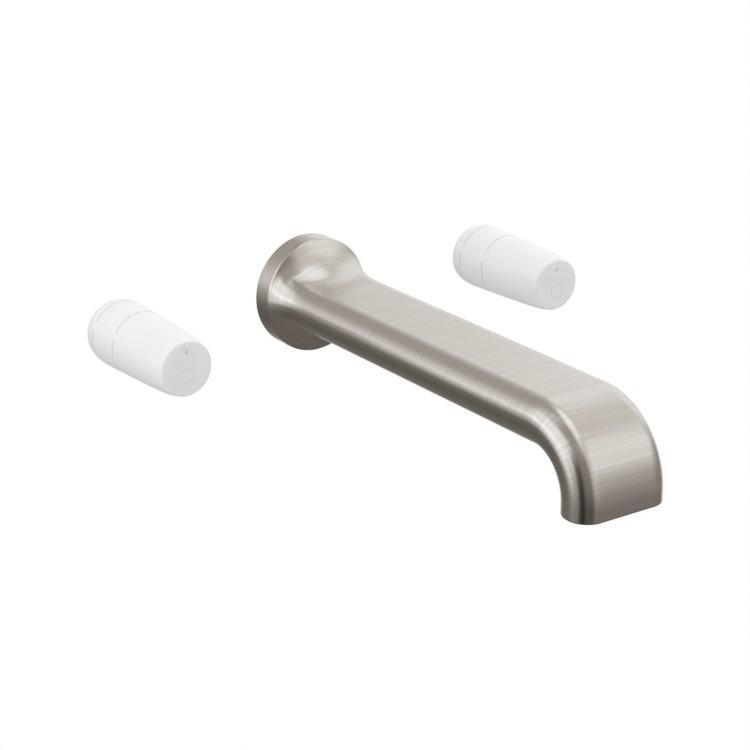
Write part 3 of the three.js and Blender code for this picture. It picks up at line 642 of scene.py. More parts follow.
# ---- Seals ------------------------------------------------------------------------------------------
# Moulded black rubber: the O-rings round the cartridges, the stems and the spout's tube, the seat seal
# behind each cartridge, and the gasket between the flange and the wall.

rubber = mottled(
    "black_rubber", (0.012, 0.012, 0.013), (0.035, 0.035, 0.037), 0.75, 0.55, 300, 5000, 0.00001,
)

RING_SIDES = 14  # of an O-ring's round section
SEAT_SEAL_EDGE = 0.4
GASKET_WIDTH = 3.4
GASKET_EDGE = 0.6


def o_ring(node):
    """An O-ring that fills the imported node's box, drawn round the axis that points out of the wall."""
    ring_low, ring_high = limits(node)
    thick = (ring_high.y - ring_low.y) / 2
    outer = (ring_high.x - ring_low.x) / 2
    middle = -(ring_low.y + ring_high.y) / 2
    profile = []
    for i in range(RING_SIDES):
        angle = 2 * math.pi * i / RING_SIDES
        profile.append((outer - thick + thick * math.cos(angle), middle + thick * math.sin(angle)))
    return place(turned(profile, closed=True), OUTWARDS, middle_x(node), 0, 0)


def washer(node, inner, edge):
    """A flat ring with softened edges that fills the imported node's box outside an inner radius."""
    ring_low, ring_high = limits(node)
    outer = (ring_high.x - ring_low.x) / 2
    start = -ring_high.y
    end = -ring_low.y
    profile = [
        (inner + edge, start), (outer - edge, start), (outer, start + edge), (outer, end - edge),
        (outer - edge, end), (inner + edge, end), (inner, end - edge), (inner, start + edge),
    ]
    return place(turned(profile, closed=True), OUTWARDS, middle_x(node), 0, 0)


for end in ("rear", "front"):
    seal = make_piece(o_ring(f"spout_tube_oring_{end}"), f"spout_seal_{end}")
    give(seal, rubber, "seal_rubber", "fixed_set", f"spout_tube_oring_{end}")
for side in ("hot", "cold"):
    seal = make_piece(o_ring(f"{side}_cartridge_oring"), f"{side}_cartridge_seal")
    give(seal, rubber, "seal_rubber", "fixed_set", f"{side}_cartridge_oring")
    seal = make_piece(o_ring(f"{side}_stem_oring"), f"{side}_stem_seal")
    give(seal, rubber, "seal_rubber", f"{side}_stem_set", f"{side}_stem_oring")
    seal = make_piece(washer(f"{side}_seat_seal", SEAT_RADIUS, SEAT_SEAL_EDGE), f"{side}_seat_ring")
    give(seal, rubber, "seal_rubber", "fixed_set", f"{side}_seat_seal")
gasket_radius = limits("flange_gasket")[1].x
gasket = washer("flange_gasket", gasket_radius - GASKET_WIDTH, GASKET_EDGE)
gasket = make_piece(gasket, "wall_gasket")
give(gasket, rubber, "seal_rubber", "fixed_set", "flange_gasket")


# ---- Ceramic discs ----------------------------------------------------------------------------------
# Two lapped alumina discs in each cartridge. The front one turns with the stem over the fixed one, and
# the water passes where their ports meet.

ceramic = mottled(
    "lapped_ceramic", (0.78, 0.75, 0.68), (0.92, 0.90, 0.85), 0.22, 0.12, 200, 3000, 0.000002,
)

PORT_RADIUS = 2.4
PORT_OFFSET = 4.6
DISC_EDGE = 0.2
TANG_SLOT = (12.0, 3.2, 1.5)  # length, height and depth of the slot that the stem's tang turns

for side in ("hot", "cold"):
    for kind, angle, body_name in (("fixed", 0, "fixed_set"), ("moving", 90, f"{side}_stem_set")):
        node = f"{side}_{kind}_disc"
        disc_low, disc_high = limits(node)
        radius = (disc_high.x - disc_low.x) / 2
        start = -disc_high.y
        end = -disc_low.y
        disc = make_piece(turned([
            (0, start), (radius - DISC_EDGE, start), (radius, start + DISC_EDGE),
            (radius, end - DISC_EDGE), (radius - DISC_EDGE, end), (0, end),
        ]), f"{side}_{kind}_ceramic")
        cuts = []
        for turn in (0, 180):
            at = math.radians(angle + turn)
            port = rod(PORT_RADIUS, start - PAST, end + PAST, 32)
            cuts.append(place(port, OUTWARDS, PORT_OFFSET * math.cos(at), 0, PORT_OFFSET * math.sin(at)))
        if kind == "moving":
            length, height, depth = TANG_SLOT
            cuts.append(block(
                (-length / 2, -end - PAST, -height / 2), (length / 2, -end + depth, height / 2),
            ))
        combine(disc, "DIFFERENCE", *cuts)
        slide(disc, axis_of(side))
        give(disc, ceramic, "disc_ceramic", body_name, node)


# ---- Cartridge housings and thrust washers ----------------------------------------------------------
# The housing is machined brass: it holds the discs, and has a groove for its O-ring, a window on each
# side, a six-sided neck that the bonnet holds, and a collar whose gap stops the stem's turn. A white
# plastic washer lets the stem's foot turn against it.

white_plastic = mottled(
    "moulded_white", (0.70, 0.70, 0.67), (0.86, 0.86, 0.84), 0.52, 0.38, 130, 2500, 0.00001,
)

CARTRIDGE_RADIUS = 11.7
SEAL_GROOVE_FLOOR = 9.65
SEAL_GROOVE_OUT = -26.5
SEAL_GROOVE_WIDTH = 2.5
STEM_BORE = 5.8
CHAMBER_FRONT = -35.0
DISC_CHAMBER_RADIUS = 9.0
NECK_BACK = -20.0
NECK_FRONT = -12.0
NECK_FLATS = 17.15
COLLAR_RADIUS = 8.6
WINDOW_RADIUS = 2.2
HOUSING_EDGE = 0.4
COLLAR_EDGE = 0.3
STOP_HALF_ANGLE = 60  # degrees, of the gap in the collar
WASHER_EDGE = 0.15


def wedge(radius, start, end, half_angle):
    """A slice of a round bar about the upward direction, to cut an opening in a collar."""
    bm = bmesh.new()
    centre = bm.verts.new((0, -start, 0))
    half_turn = math.radians(half_angle)
    edge = bm.verts.new((radius * math.sin(half_turn), -start, radius * math.cos(half_turn)))
    line = bm.edges.new((centre, edge))
    bmesh.ops.spin(
        bm, geom=[centre, edge, line], cent=(0, 0, 0), axis=(0, 1, 0), angle=-2 * half_turn,
        steps=24, use_merge=False,
    )
    bmesh.ops.remove_doubles(bm, verts=bm.verts, dist=1e-4)
    grown = bmesh.ops.extrude_face_region(bm, geom=bm.faces[:])["geom"]
    moved = [item for item in grown if isinstance(item, bmesh.types.BMVert)]
    bmesh.ops.translate(bm, vec=(0, start - end, 0), verts=moved)
    bmesh.ops.recalc_face_normals(bm, faces=bm.faces)
    return bm


for side in ("hot", "cold"):
    node = f"{side}_cartridge_housing"
    house_low, house_high = limits(node)
    back = -house_high.y
    front = -house_low.y
    groove_start = SEAL_GROOVE_OUT - SEAL_GROOVE_WIDTH / 2
    groove_end = SEAL_GROOVE_OUT + SEAL_GROOVE_WIDTH / 2
    barrel = turned([
        (0, back), (CARTRIDGE_RADIUS - HOUSING_EDGE, back), (CARTRIDGE_RADIUS, back + HOUSING_EDGE),
        (CARTRIDGE_RADIUS, groove_start), (SEAL_GROOVE_FLOOR, groove_start),
        (SEAL_GROOVE_FLOOR, groove_end), (CARTRIDGE_RADIUS, groove_end),
        (CARTRIDGE_RADIUS, NECK_BACK - HOUSING_EDGE), (CARTRIDGE_RADIUS - HOUSING_EDGE, NECK_BACK),
        (0, NECK_BACK),
    ])
    housing = make_piece(barrel, f"{side}_cartridge_case")
    collar = turned([
        (0, NECK_FRONT - PAST), (COLLAR_RADIUS, NECK_FRONT - PAST), (COLLAR_RADIUS, front - COLLAR_EDGE),
        (COLLAR_RADIUS - COLLAR_EDGE, front), (0, front),
    ])
    combine(housing, "UNION", hex_bar(NECK_FLATS, NECK_BACK - PAST, NECK_FRONT), collar)
    window = rod(WINDOW_RADIUS, -CARTRIDGE_RADIUS - PAST, CARTRIDGE_RADIUS + PAST)
    combine(
        housing, "DIFFERENCE",
        rod(STEM_BORE, CHAMBER_FRONT - PAST, front + PAST),
        rod(DISC_CHAMBER_RADIUS, back - PAST, CHAMBER_FRONT),
        wedge(COLLAR_RADIUS + PAST, NECK_FRONT, front + PAST, STOP_HALF_ANGLE),
        place(window, ALONG_WALL, 0, -RUN_OUT, 0),
    )
    slide(housing, axis_of(side))
    give(housing, machined_brass, "brass", "fixed_set", node)
    slip_ring = washer(f"{side}_thrust_washer", STEM_BORE, WASHER_EDGE)
    slip_ring = make_piece(slip_ring, f"{side}_slip_washer")
    give(slip_ring, white_plastic, "white_plastic", "fixed_set", f"{side}_thrust_washer")


# ---- Stems ------------------------------------------------------------------------------------------
# Machined brass. The foot's tang turns the front disc, an O-ring seals the shaft, a tab meets the
# collar's stops, and the splined end takes the handle, with a thread for its screw.

STEM_RADIUS = 5.5
STEM_NECK_RADIUS = 4.2
STEM_SEAL_FLOOR = 3.75
STEM_SEAL_OUT = -28.0
STEM_SEAL_WIDTH = 2.5
STEM_CLIP_SEAT = (-9.0, -7.2)  # the groove that the clip sits in
STEM_CLIP_FLOOR = 4.5
STEM_SHOULDER = -4.5
STEM_TAPER_END = -2.5
SPLINE_START = 22.0
SPLINE_RADIUS = 4.9
SPLINE_ROOT = 4.35
SPLINE_TEETH = 16
HANDLE_THREAD_RADIUS = 2.1
HANDLE_THREAD_DEPTH = 12.0
HANDLE_THREAD = (0.3, 0.7)  # depth and pitch
FOOT_FRONT = -36.5
FOOT_GAP = 0.3  # from the front disc to the foot
FOOT_EDGE = 0.2
TANG_HALF_LENGTH = 5.7
TANG_HALF_HEIGHT = 1.3
TAB_RADIUS = 8.3
TAB_OUTS = (-11.7, -9.2)
TAB_HALF_ANGLE = 13  # degrees
TAB_TURN = 45  # degrees from upright, where the valve is shut


def spline_bar(start, end):
    """A bar with straight teeth, its end chamfered so that a handle finds its way on."""
    bm = bmesh.new()
    ring = bmesh.ops.create_circle(
        bm, cap_ends=True, segments=4 * SPLINE_TEETH, radius=1,
        matrix=Matrix.Translation((0, -start, 0)) @ UPRIGHT.inverted(),
    )["verts"]
    for vert in ring:
        angle = math.atan2(vert.co.z, vert.co.x)
        place_in_tooth = round(angle / (2 * math.pi) * 4 * SPLINE_TEETH) % 4
        radius = SPLINE_RADIUS if place_in_tooth in (0, 1) else SPLINE_ROOT
        vert.co.x = radius * math.cos(angle)
        vert.co.z = radius * math.sin(angle)
    grown = bmesh.ops.extrude_face_region(bm, geom=bm.faces[:])["geom"]
    moved = [item for item in grown if isinstance(item, bmesh.types.BMVert)]
    bmesh.ops.translate(bm, vec=(0, start - end, 0), verts=moved)
    bmesh.ops.recalc_face_normals(bm, faces=bm.faces)
    return bm


for side in ("hot", "cold"):
    node = f"{side}_stem"
    stem_low, stem_high = limits(node)
    tip = -stem_low.y
    tang_back = -stem_high.y
    disc_low, disc_high = limits(f"{side}_moving_disc")
    foot_back = -disc_low.y + FOOT_GAP
    foot_radius = (disc_high.x - disc_low.x) / 2
    clip_back, clip_front = STEM_CLIP_SEAT
    groove_start = STEM_SEAL_OUT - STEM_SEAL_WIDTH / 2
    groove_end = STEM_SEAL_OUT + STEM_SEAL_WIDTH / 2
    shaft = turned([
        (0, foot_back), (foot_radius - FOOT_EDGE, foot_back), (foot_radius, foot_back + FOOT_EDGE),
        (foot_radius, FOOT_FRONT - FOOT_EDGE), (foot_radius - FOOT_EDGE, FOOT_FRONT),
        (STEM_RADIUS, FOOT_FRONT), (STEM_RADIUS, groove_start), (STEM_SEAL_FLOOR, groove_start),
        (STEM_SEAL_FLOOR, groove_end), (STEM_RADIUS, groove_end), (STEM_RADIUS, clip_back),
        (STEM_CLIP_FLOOR, clip_back), (STEM_CLIP_FLOOR, clip_front), (STEM_RADIUS, clip_front),
        (STEM_RADIUS, STEM_SHOULDER), (STEM_NECK_RADIUS, STEM_TAPER_END),
        (STEM_NECK_RADIUS, SPLINE_START - 0.6), (SPLINE_ROOT, SPLINE_START), (0, SPLINE_START),
    ])
    stem = make_piece(spline_bar(SPLINE_START - 0.4, tip), f"{side}_splined_stem")
    combine(stem, "INTERSECT", turned([
        (0, SPLINE_START - PAST), (SPLINE_ROOT - 0.2, SPLINE_START - 0.4),
        (SPLINE_RADIUS + 0.1, SPLINE_START + 0.7), (SPLINE_RADIUS + 0.1, tip - 0.9),
        (SPLINE_ROOT - 0.2, tip), (0, tip),
    ]))
    tang = block(
        (-TANG_HALF_LENGTH, -foot_back - 0.5, -TANG_HALF_HEIGHT),
        (TANG_HALF_LENGTH, -tang_back, TANG_HALF_HEIGHT),
    )
    tab = wedge(TAB_RADIUS, *TAB_OUTS, TAB_HALF_ANGLE)
    place(tab, Matrix.Rotation(math.radians(TAB_TURN) * towards_spout(side), 4, "Y"), 0, 0, 0)
    combine(stem, "UNION", shaft, tang, tab)
    thread_start = tip - HANDLE_THREAD_DEPTH
    hole = turned([
        (0, thread_start - PAST), (HANDLE_THREAD_RADIUS - 0.3, thread_start),
        *threaded(HANDLE_THREAD_RADIUS, *HANDLE_THREAD, thread_start, tip - 0.6),
        (HANDLE_THREAD_RADIUS + 0.1, tip), (HANDLE_THREAD_RADIUS + 0.9, tip + PAST), (0, tip + PAST),
    ], steps=48)
    combine(stem, "DIFFERENCE", hole)
    slide(stem, axis_of(side))
    give(stem, machined_brass, "brass", f"{side}_stem_set", node)


# ---- Stem clips -------------------------------------------------------------------------------------
# A stainless snap ring in each stem's groove keeps the stem from being pushed out by the water.

CLIP_OPENING = 2.6  # half the width of the clip's gap
CLIP_PLAY = 0.3  # round the floor of its groove
CLIP_HEIGHTS = (3, 12)  # the block that cuts the gap

for side in ("hot", "cold"):
    node = f"{side}_stem_clip"
    clip_low, clip_high = limits(node)
    valve_x = axis_of(side)
    gap_low, gap_high = CLIP_HEIGHTS
    clip = make_piece(washer(node, STEM_CLIP_FLOOR + CLIP_PLAY, WASHER_EDGE), f"{side}_snap_ring")
    combine(clip, "DIFFERENCE", block(
        (valve_x - CLIP_OPENING, clip_low.y - PAST, gap_low),
        (valve_x + CLIP_OPENING, clip_high.y + PAST, gap_high),
    ))
    give(clip, stainless, "stainless", f"{side}_stem_set", node)


# ---- Bonnets ----------------------------------------------------------------------------------------
# Machined brass. A hexagon nut screws on to each valve's spigot and clamps the cartridge, and its long
# sleeve comes out through the wall, with a thread at its end for the handle's trim.

BONNET_FLATS = 33.0
BONNET_HEX_FRONT = -14.0
BONNET_SLEEVE_RADIUS = 12.2
BONNET_BORE = 10.2
BONNET_NUT_BORE = 14.0
BONNET_SHOULDER = -19.7
BONNET_THREAD_START = 9.0
BONNET_THREAD = (0.55, 1.25)  # depth and pitch
BONNET_RELIEF = 0.8  # depth of the groove behind the thread, and of the chamfer in front of it
BONNET_RELIEF_START = 1.2  # how far behind the thread the groove begins

for side in ("hot", "cold"):
    node = f"{side}_bonnet"
    bonnet_low, bonnet_high = limits(node)
    back = -bonnet_high.y
    front = -bonnet_low.y
    bonnet = make_piece(hex_bar(BONNET_FLATS, back, BONNET_HEX_FRONT), f"{side}_bonnet_nut")
    corner = corner_of(BONNET_FLATS)
    flat = BONNET_FLATS / 2
    combine(bonnet, "INTERSECT", turned([
        (0, back), (flat + 0.4, back), (corner + 0.2, back + 1.1), (corner + 0.2, BONNET_HEX_FRONT - 1.5),
        (flat - 0.2, BONNET_HEX_FRONT), (0, BONNET_HEX_FRONT),
    ], steps=96))
    relief_radius = BONNET_SLEEVE_RADIUS - BONNET_RELIEF
    relief_start = BONNET_THREAD_START - BONNET_RELIEF_START
    sleeve = turned([
        (0, BONNET_HEX_FRONT - PAST), (BONNET_SLEEVE_RADIUS, BONNET_HEX_FRONT - PAST),
        (BONNET_SLEEVE_RADIUS, relief_start - 0.3), (relief_radius, relief_start),
        (relief_radius, BONNET_THREAD_START - 0.3),
        *threaded(BONNET_SLEEVE_RADIUS, *BONNET_THREAD, BONNET_THREAD_START, front - 0.9),
        (relief_radius, front), (0, front),
    ], steps=96)
    combine(bonnet, "UNION", sleeve)
    combine(
        bonnet, "DIFFERENCE",
        rod(BONNET_NUT_BORE, back - PAST, BONNET_SHOULDER, 72),
        rod(BONNET_BORE, BONNET_SHOULDER - PAST, front + PAST, 72),
    )
    slide(bonnet, axis_of(side))
    give(bonnet, machined_brass, "brass", "fixed_set", node)


# ---- Spout ------------------------------------------------------------------------------------------
# One brass casting, hollow from end to end: a round flange whose bell draws in to a wide flat arm that
# turns down at its end. It is brushed round its section and plated in a warm nickel.

RIM_DEPTH = 10.5
RIM_EDGE = 0.25  # the polished edge where the rim meets the bell
BELL_END = 45.3
BELL_HUG = (10.2, 1.14)  # how steeply the bell leaves the rim
BELL_EASE = 15.0  # how softly it runs into the arm
ARM_HALF_WIDTH = 23.4
ARM_TOP = 10.5
ARM_BOTTOM = -11.3
ARM_UPPER_CORNER = 9.3
ARM_LOWER_CORNER = 12.2
ELBOW_RADIUS = 37.7
CASTING_WALL = 2.6
HUB_RADIUS = 11.64
HUB_BORE = 8.24
HUB_START = 9.0
HUB_END = 25.0
WEB_START = 22.0
WEB_END = 32.0
SEAL_GROOVES = (13.0, 18.5)
SET_SCREW_OUT = 27.0
SET_SCREW_RADIUS = 2.5
OUTLET_RIM_WALL = 1.7
OUTLET_RECESS = 6.0
OUTLET_EDGE = 0.6  # rounding of the outlet's outer edge
OUTLET_INNER_EDGE = 0.2
CASTING_EDGE = 0.3  # chamfers of the rim's back
HUB_EDGE = 0.5
HUB_GROOVE_DEPTH = 1.75
HUB_GROOVE_WIDTH = 2.5
SET_SCREW_PLAY = 0.3
LAST_INNER_TURN = 84  # degrees, where the waterway meets the outlet's recess
SECTION_POINTS = 288
BELL_STEPS = 48
BELL_START = [0.008, 0.014]  # closer steps where the bell leaves the rim
ARM_STEPS = 24
ELBOW_STEPS = 48
WATERWAY_STEPS = 16
EDGE_STEPS = 4

spout_low, spout_high = limits("spout_shell")
RIM_RADIUS = spout_high.z
elbow_out = -spout_low.y - ELBOW_RADIUS
elbow_height = ARM_TOP - ELBOW_RADIUS
mouth_drop = elbow_height - spout_low.z


def arm_radius(direction, inset):
    """How far the arm's outline is from the middle of its section, in a direction."""
    side = ARM_HALF_WIDTH - inset
    top = ARM_TOP - inset
    bottom = ARM_BOTTOM + inset
    upper = ARM_UPPER_CORNER - inset
    lower = ARM_LOWER_CORNER - inset
    to_side = side / abs(direction.x)
    if bottom + lower <= to_side * direction.y <= top - upper:
        return to_side
    rises = direction.y > 0
    corner_radius = upper if rises else lower
    to_flat = (top if rises else bottom) / direction.y
    if abs(to_flat * direction.x) <= side - corner_radius:
        return to_flat
    corner = Vector((
        math.copysign(side - corner_radius, direction.x), top - upper if rises else bottom + lower,
    ))
    along = direction.dot(corner)
    return along + math.sqrt(corner_radius ** 2 - corner.length_squared + along ** 2)


def spout_ring(out, blend=1.0, turn=0.0, drop=0.0, inset=0.0):
    """One section of the spout: the rim's circle, the arm's outline, or a blend of them.

    It stands at a distance out, is turned down round the elbow, and drops below the elbow's end.
    """
    points = []
    for i in range(SECTION_POINTS):
        angle = (i + 0.5) / SECTION_POINTS * 2 * math.pi
        direction = Vector((math.cos(angle), math.sin(angle)))
        radius = (1 - blend) * (RIM_RADIUS - inset) + blend * arm_radius(direction, inset)
        lever = radius * direction.y - elbow_height
        points.append(Vector((
            radius * direction.x,
            -out - lever * math.sin(turn),
            elbow_height + lever * math.cos(turn) - drop,
        )))
    return points


def bell(t):
    """How far out the bell is, and how far the round rim has become the arm, part of the way along."""
    hug_out, hug_blend = BELL_HUG
    knots = [(RIM_DEPTH, 0), (RIM_DEPTH + hug_out, hug_blend), (BELL_END - BELL_EASE, 1), (BELL_END, 1)]
    weights = [(1 - t) ** 3, 3 * t * (1 - t) ** 2, 3 * t * t * (1 - t), t ** 3]
    out = sum(weight * knot[0] for weight, knot in zip(weights, knots))
    blend = sum(weight * knot[1] for weight, knot in zip(weights, knots))
    return out, blend


def skin(rings):
    """A closed surface through rings of points: each ring is drawn out from the one before it."""
    bm = bmesh.new()
    ring = bmesh.ops.create_circle(bm, cap_ends=False, segments=len(rings[0]), radius=1)["verts"]
    for vert, point in zip(ring, rings[0]):
        vert.co = point
    bmesh.ops.contextual_create(bm, geom=ring)
    for points in rings[1:]:
        edges = [bm.edges.get(pair) for pair in zip(ring, ring[1:] + ring[:1])]
        grown = bmesh.ops.extrude_edge_only(bm, edges=edges)["geom"]
        new = {item for item in grown if isinstance(item, bmesh.types.BMVert)}
        follow = {}
        for vert in new:
            for edge in vert.link_edges:
                other = edge.other_vert(vert)
                if other not in new:
                    follow[other] = vert
        ring = [follow[vert] for vert in ring]
        for vert, point in zip(ring, points):
            vert.co = point
    bmesh.ops.contextual_create(bm, geom=ring)
    bmesh.ops.recalc_face_normals(bm, faces=bm.faces)
    return bm


rings = []
pocket = [bell(i / BELL_STEPS) for i in range(BELL_STEPS + 1)]
pocket = [(out - CASTING_WALL, blend) for out, blend in pocket if out - CASTING_WALL < WEB_START]
for out, blend in reversed(pocket):
    rings.append(spout_ring(out, blend, inset=CASTING_WALL))
rings.append(spout_ring(CASTING_EDGE, 0, inset=CASTING_WALL))
rings.append(spout_ring(0, 0, inset=CASTING_WALL - CASTING_EDGE))
rings.append(spout_ring(0, 0, inset=CASTING_EDGE))
for out in (CASTING_EDGE, 0.8, RIM_DEPTH - 3 * RIM_EDGE, RIM_DEPTH - RIM_EDGE):
    rings.append(spout_ring(out, 0))
for t in BELL_START + [i / BELL_STEPS for i in range(1, BELL_STEPS + 1)]:
    rings.append(spout_ring(*bell(t)))
for i in range(1, ARM_STEPS):
    rings.append(spout_ring(BELL_END + (elbow_out - BELL_END) * i / ARM_STEPS))
for i in range(ELBOW_STEPS + 1):
    rings.append(spout_ring(elbow_out, turn=QUARTER * i / ELBOW_STEPS))
rings.append(spout_ring(elbow_out, turn=QUARTER, drop=mouth_drop - 1.5 * OUTLET_EDGE))
for i in range(EDGE_STEPS + 1):
    angle = QUARTER * i / EDGE_STEPS
    rings.append(spout_ring(
        elbow_out, turn=QUARTER, drop=mouth_drop - OUTLET_EDGE * (1 - math.sin(angle)),
        inset=OUTLET_EDGE * (1 - math.cos(angle)),
    ))
for up, inset in (
    (0, OUTLET_RIM_WALL - OUTLET_INNER_EDGE),
    (OUTLET_INNER_EDGE, OUTLET_RIM_WALL),
    (OUTLET_RECESS, OUTLET_RIM_WALL),
    (OUTLET_RECESS, CASTING_WALL),
):
    rings.append(spout_ring(elbow_out, turn=QUARTER, drop=mouth_drop - up, inset=inset))
for i in range(WATERWAY_STEPS + 1):
    turn = math.radians(LAST_INNER_TURN * (1 - i / WATERWAY_STEPS))
    rings.append(spout_ring(elbow_out, turn=turn, inset=CASTING_WALL))
rings.append(spout_ring(WEB_END, inset=CASTING_WALL))
spout = make_piece(skin(rings), "spout_casting", sharp=50)
combine(spout, "UNION", rod(HUB_RADIUS, HUB_START, HUB_END, 72), sharp=50)
tunnel = [(0, HUB_START - PAST), (HUB_BORE + HUB_EDGE, HUB_START - PAST)]
tunnel += [(HUB_BORE + HUB_EDGE, HUB_START), (HUB_BORE, HUB_START + HUB_EDGE)]
for middle in SEAL_GROOVES:
    groove_start = middle - HUB_GROOVE_WIDTH / 2
    groove_end = middle + HUB_GROOVE_WIDTH / 2
    groove_floor = HUB_BORE + HUB_GROOVE_DEPTH
    tunnel += [(HUB_BORE, groove_start), (groove_floor, groove_start)]
    tunnel += [(groove_floor, groove_end), (HUB_BORE, groove_end)]
tunnel += [(HUB_BORE, WEB_END + PAST), (0, WEB_END + PAST)]
screw_hole = rod(SET_SCREW_RADIUS + SET_SCREW_PLAY, -RIM_RADIUS, 0, 48)
place(screw_hole, UPRIGHT, 0, -SET_SCREW_OUT, 0)
combine(spout, "DIFFERENCE", turned(tunnel), screw_hole, sharp=50)

ELBOW_MIDDLE = 0.7  # of the elbow's outer radius, where lengths along it are measured
BRUSHING_SCALE = 8  # of the UV map along the spout, against one turn round it to a unit


def measure_along(piece):
    """Stores how far along the spout each point is, and lays the brushing out over its skin.

    The UV map runs round the section one way and along the spout the other, with its seam below.
    """
    mesh = piece.data
    along = mesh.attributes.new("along", "FLOAT", "POINT")
    around = []
    for vert in mesh.vertices:
        x, y, z = vert.co / MM
        out = -y
        if out <= elbow_out:
            distance = out
            height = z
        else:
            turn = min(QUARTER, math.atan2(out - elbow_out, max(z - elbow_height, 1e-6)))
            lever = math.hypot(out - elbow_out, max(z - elbow_height, 0))
            distance = elbow_out + turn * ELBOW_MIDDLE * ELBOW_RADIUS + max(0, elbow_height - z)
            height = lever + elbow_height
        along.data[vert.index].value = distance * MM
        around.append((math.atan2(x, height) / (2 * math.pi), distance * MM))
    layout = mesh.uv_layers.new(name="brushing")
    for face in mesh.polygons:
        loops = list(face.loop_indices)
        turns = [around[mesh.loops[i].vertex_index][0] for i in loops]
        wraps = max(turns) - min(turns) > 0.5
        for i, turn in zip(loops, turns):
            distance = around[mesh.loops[i].vertex_index][1]
            layout.data[i].uv = (turn + 1 if wraps and turn < 0 else turn, distance * BRUSHING_SCALE)


measure_along(spout)


def brushed_nickel_material():
    """Brushing lines run round the section, and draw the highlights out along the spout."""
    material = streaked(
        "brushed_nickel", (0.57, 0.54, 0.505), (0.69, 0.66, 0.625), 0.27, 0.20, (0.012, 1, 0.012),
        2400, 900, 0.000008, along="along",
    )
    tree = material.node_tree
    shader = tree.nodes["Principled BSDF"]
    shader.inputs["Anisotropic"].default_value = 0.55
    shader.inputs["Anisotropic Rotation"].default_value = 0.25
    lines = tree_node(tree, "Tangent", direction_type="UV_MAP", uv_map="brushing")
    tree.links.new(lines.outputs[0], shader.inputs["Tangent"])
    return material


nickel = brushed_nickel_material()
give(spout, nickel, "brushed_nickel", "fixed_set", "spout_shell")


# ---- Set screw --------------------------------------------------------------------------------------
# A stainless socket set screw in the underside of the bell, which grips the copper tube.

SET_SCREW_KEY = 2.4  # across the flats
SET_SCREW_KEY_DEPTH = 1.3
SET_SCREW_THREAD = (0.4, 0.8)  # depth and pitch

grub_low, grub_high = limits("spout_set_screw")
grub = turned([
    (0, grub_low.z), (SET_SCREW_RADIUS - 0.5, grub_low.z),
    *threaded(SET_SCREW_RADIUS, *SET_SCREW_THREAD, grub_low.z + 0.3, grub_high.z - 0.5),
    (SET_SCREW_RADIUS - 1.0, grub_high.z), (0, grub_high.z),
], steps=48)
grub = make_piece(place(grub, UPRIGHT, 0, -SET_SCREW_OUT, 0), "grub_screw")
key = hex_bar(SET_SCREW_KEY, grub_low.z - PAST, grub_low.z + SET_SCREW_KEY_DEPTH)
combine(grub, "DIFFERENCE", place(key, UPRIGHT, 0, -SET_SCREW_OUT, 0))
give(grub, stainless, "stainless", "fixed_set", "spout_set_screw")


# ---- Outlet insert ----------------------------------------------------------------------------------
# Held up inside the outlet: a rubber gasket, a stainless screen that stops debris, and a grey plastic
# grid of cells that straightens the stream.

INSERT_GAP = 0.3  # from the casting
INSERT_LEDGE = 2.2  # width of the solid edge round the open middle
GRID_MARGIN = 3.0  # how far the cells run into the outlet's round ends
LIP_EDGE = 0.2
SIEVE_EDGE = 0.3
SCREEN_CELLS = (26, 12)  # columns and rows
SCREEN_WIRE = 0.35
SIEVE_CELLS = (13, 6)
SIEVE_RIB = 0.6


def outlet_plate(low, high, inset, edge=0.0):
    """A level plate with the outlet's outline, set in from its outer face."""
    levels = [(low, inset), (high, inset)]
    if edge:
        levels = [(low, inset + edge), (low + edge, inset), (high - edge, inset), (high, inset + edge)]
    return skin([
        spout_ring(elbow_out, turn=QUARTER, drop=elbow_height - height, inset=at_inset)
        for height, at_inset in levels
    ])


insert_inset = OUTLET_RIM_WALL + INSERT_GAP
open_inset = insert_inset + INSERT_LEDGE
grid_half_width = ARM_HALF_WIDTH - ARM_LOWER_CORNER + GRID_MARGIN
grid_front = spout_low.y + open_inset
grid_back = spout_low.y + ARM_TOP - ARM_BOTTOM - open_inset


def grid_of_blocks(cells, rib, bottom, top):
    """Square-edged blocks in rows and columns, to cut a grid of cells."""
    bm = bmesh.new()
    columns, rows = cells
    width = 2 * grid_half_width / columns
    depth = (grid_back - grid_front) / rows
    size = Matrix.Diagonal((width - rib, depth - rib, top - bottom, 1))
    for column in range(columns):
        for row in range(rows):
            x = (column + 0.5) * width - grid_half_width
            y = (row + 0.5) * depth + grid_front
            at = Matrix.Translation((x, y, (bottom + top) / 2))
            bmesh.ops.create_cube(bm, size=1, matrix=at @ size)
    return bm


lip_low, lip_high = limits("outlet_gasket")
lip = make_piece(outlet_plate(lip_low.z, lip_high.z, insert_inset, LIP_EDGE), "outlet_lip_seal")
combine(lip, "DIFFERENCE", outlet_plate(lip_low.z - PAST, lip_high.z + PAST, open_inset))
give(lip, rubber, "seal_rubber", "fixed_set", "outlet_gasket")

mesh_low, mesh_high = limits("debris_screen")
screen = make_piece(outlet_plate(mesh_low.z, mesh_high.z, insert_inset), "wire_screen")
cells = grid_of_blocks(SCREEN_CELLS, SCREEN_WIRE, mesh_low.z - PAST, mesh_high.z + PAST)
combine(screen, "DIFFERENCE", cells)
give(screen, stainless, "stainless", "fixed_set", "debris_screen")

grey_plastic = mottled(
    "moulded_grey", (0.44, 0.45, 0.44), (0.58, 0.59, 0.58), 0.50, 0.36, 200, 2500, 0.00001,
)
sieve_low, sieve_high = limits("stream_straightener")
sieve = make_piece(outlet_plate(sieve_low.z, sieve_high.z, insert_inset, SIEVE_EDGE), "stream_grid")
cells = grid_of_blocks(SIEVE_CELLS, SIEVE_RIB, sieve_low.z - PAST, sieve_high.z + PAST)
combine(sieve, "DIFFERENCE", cells)
give(sieve, grey_plastic, "grey_plastic", "fixed_set", "stream_straightener")


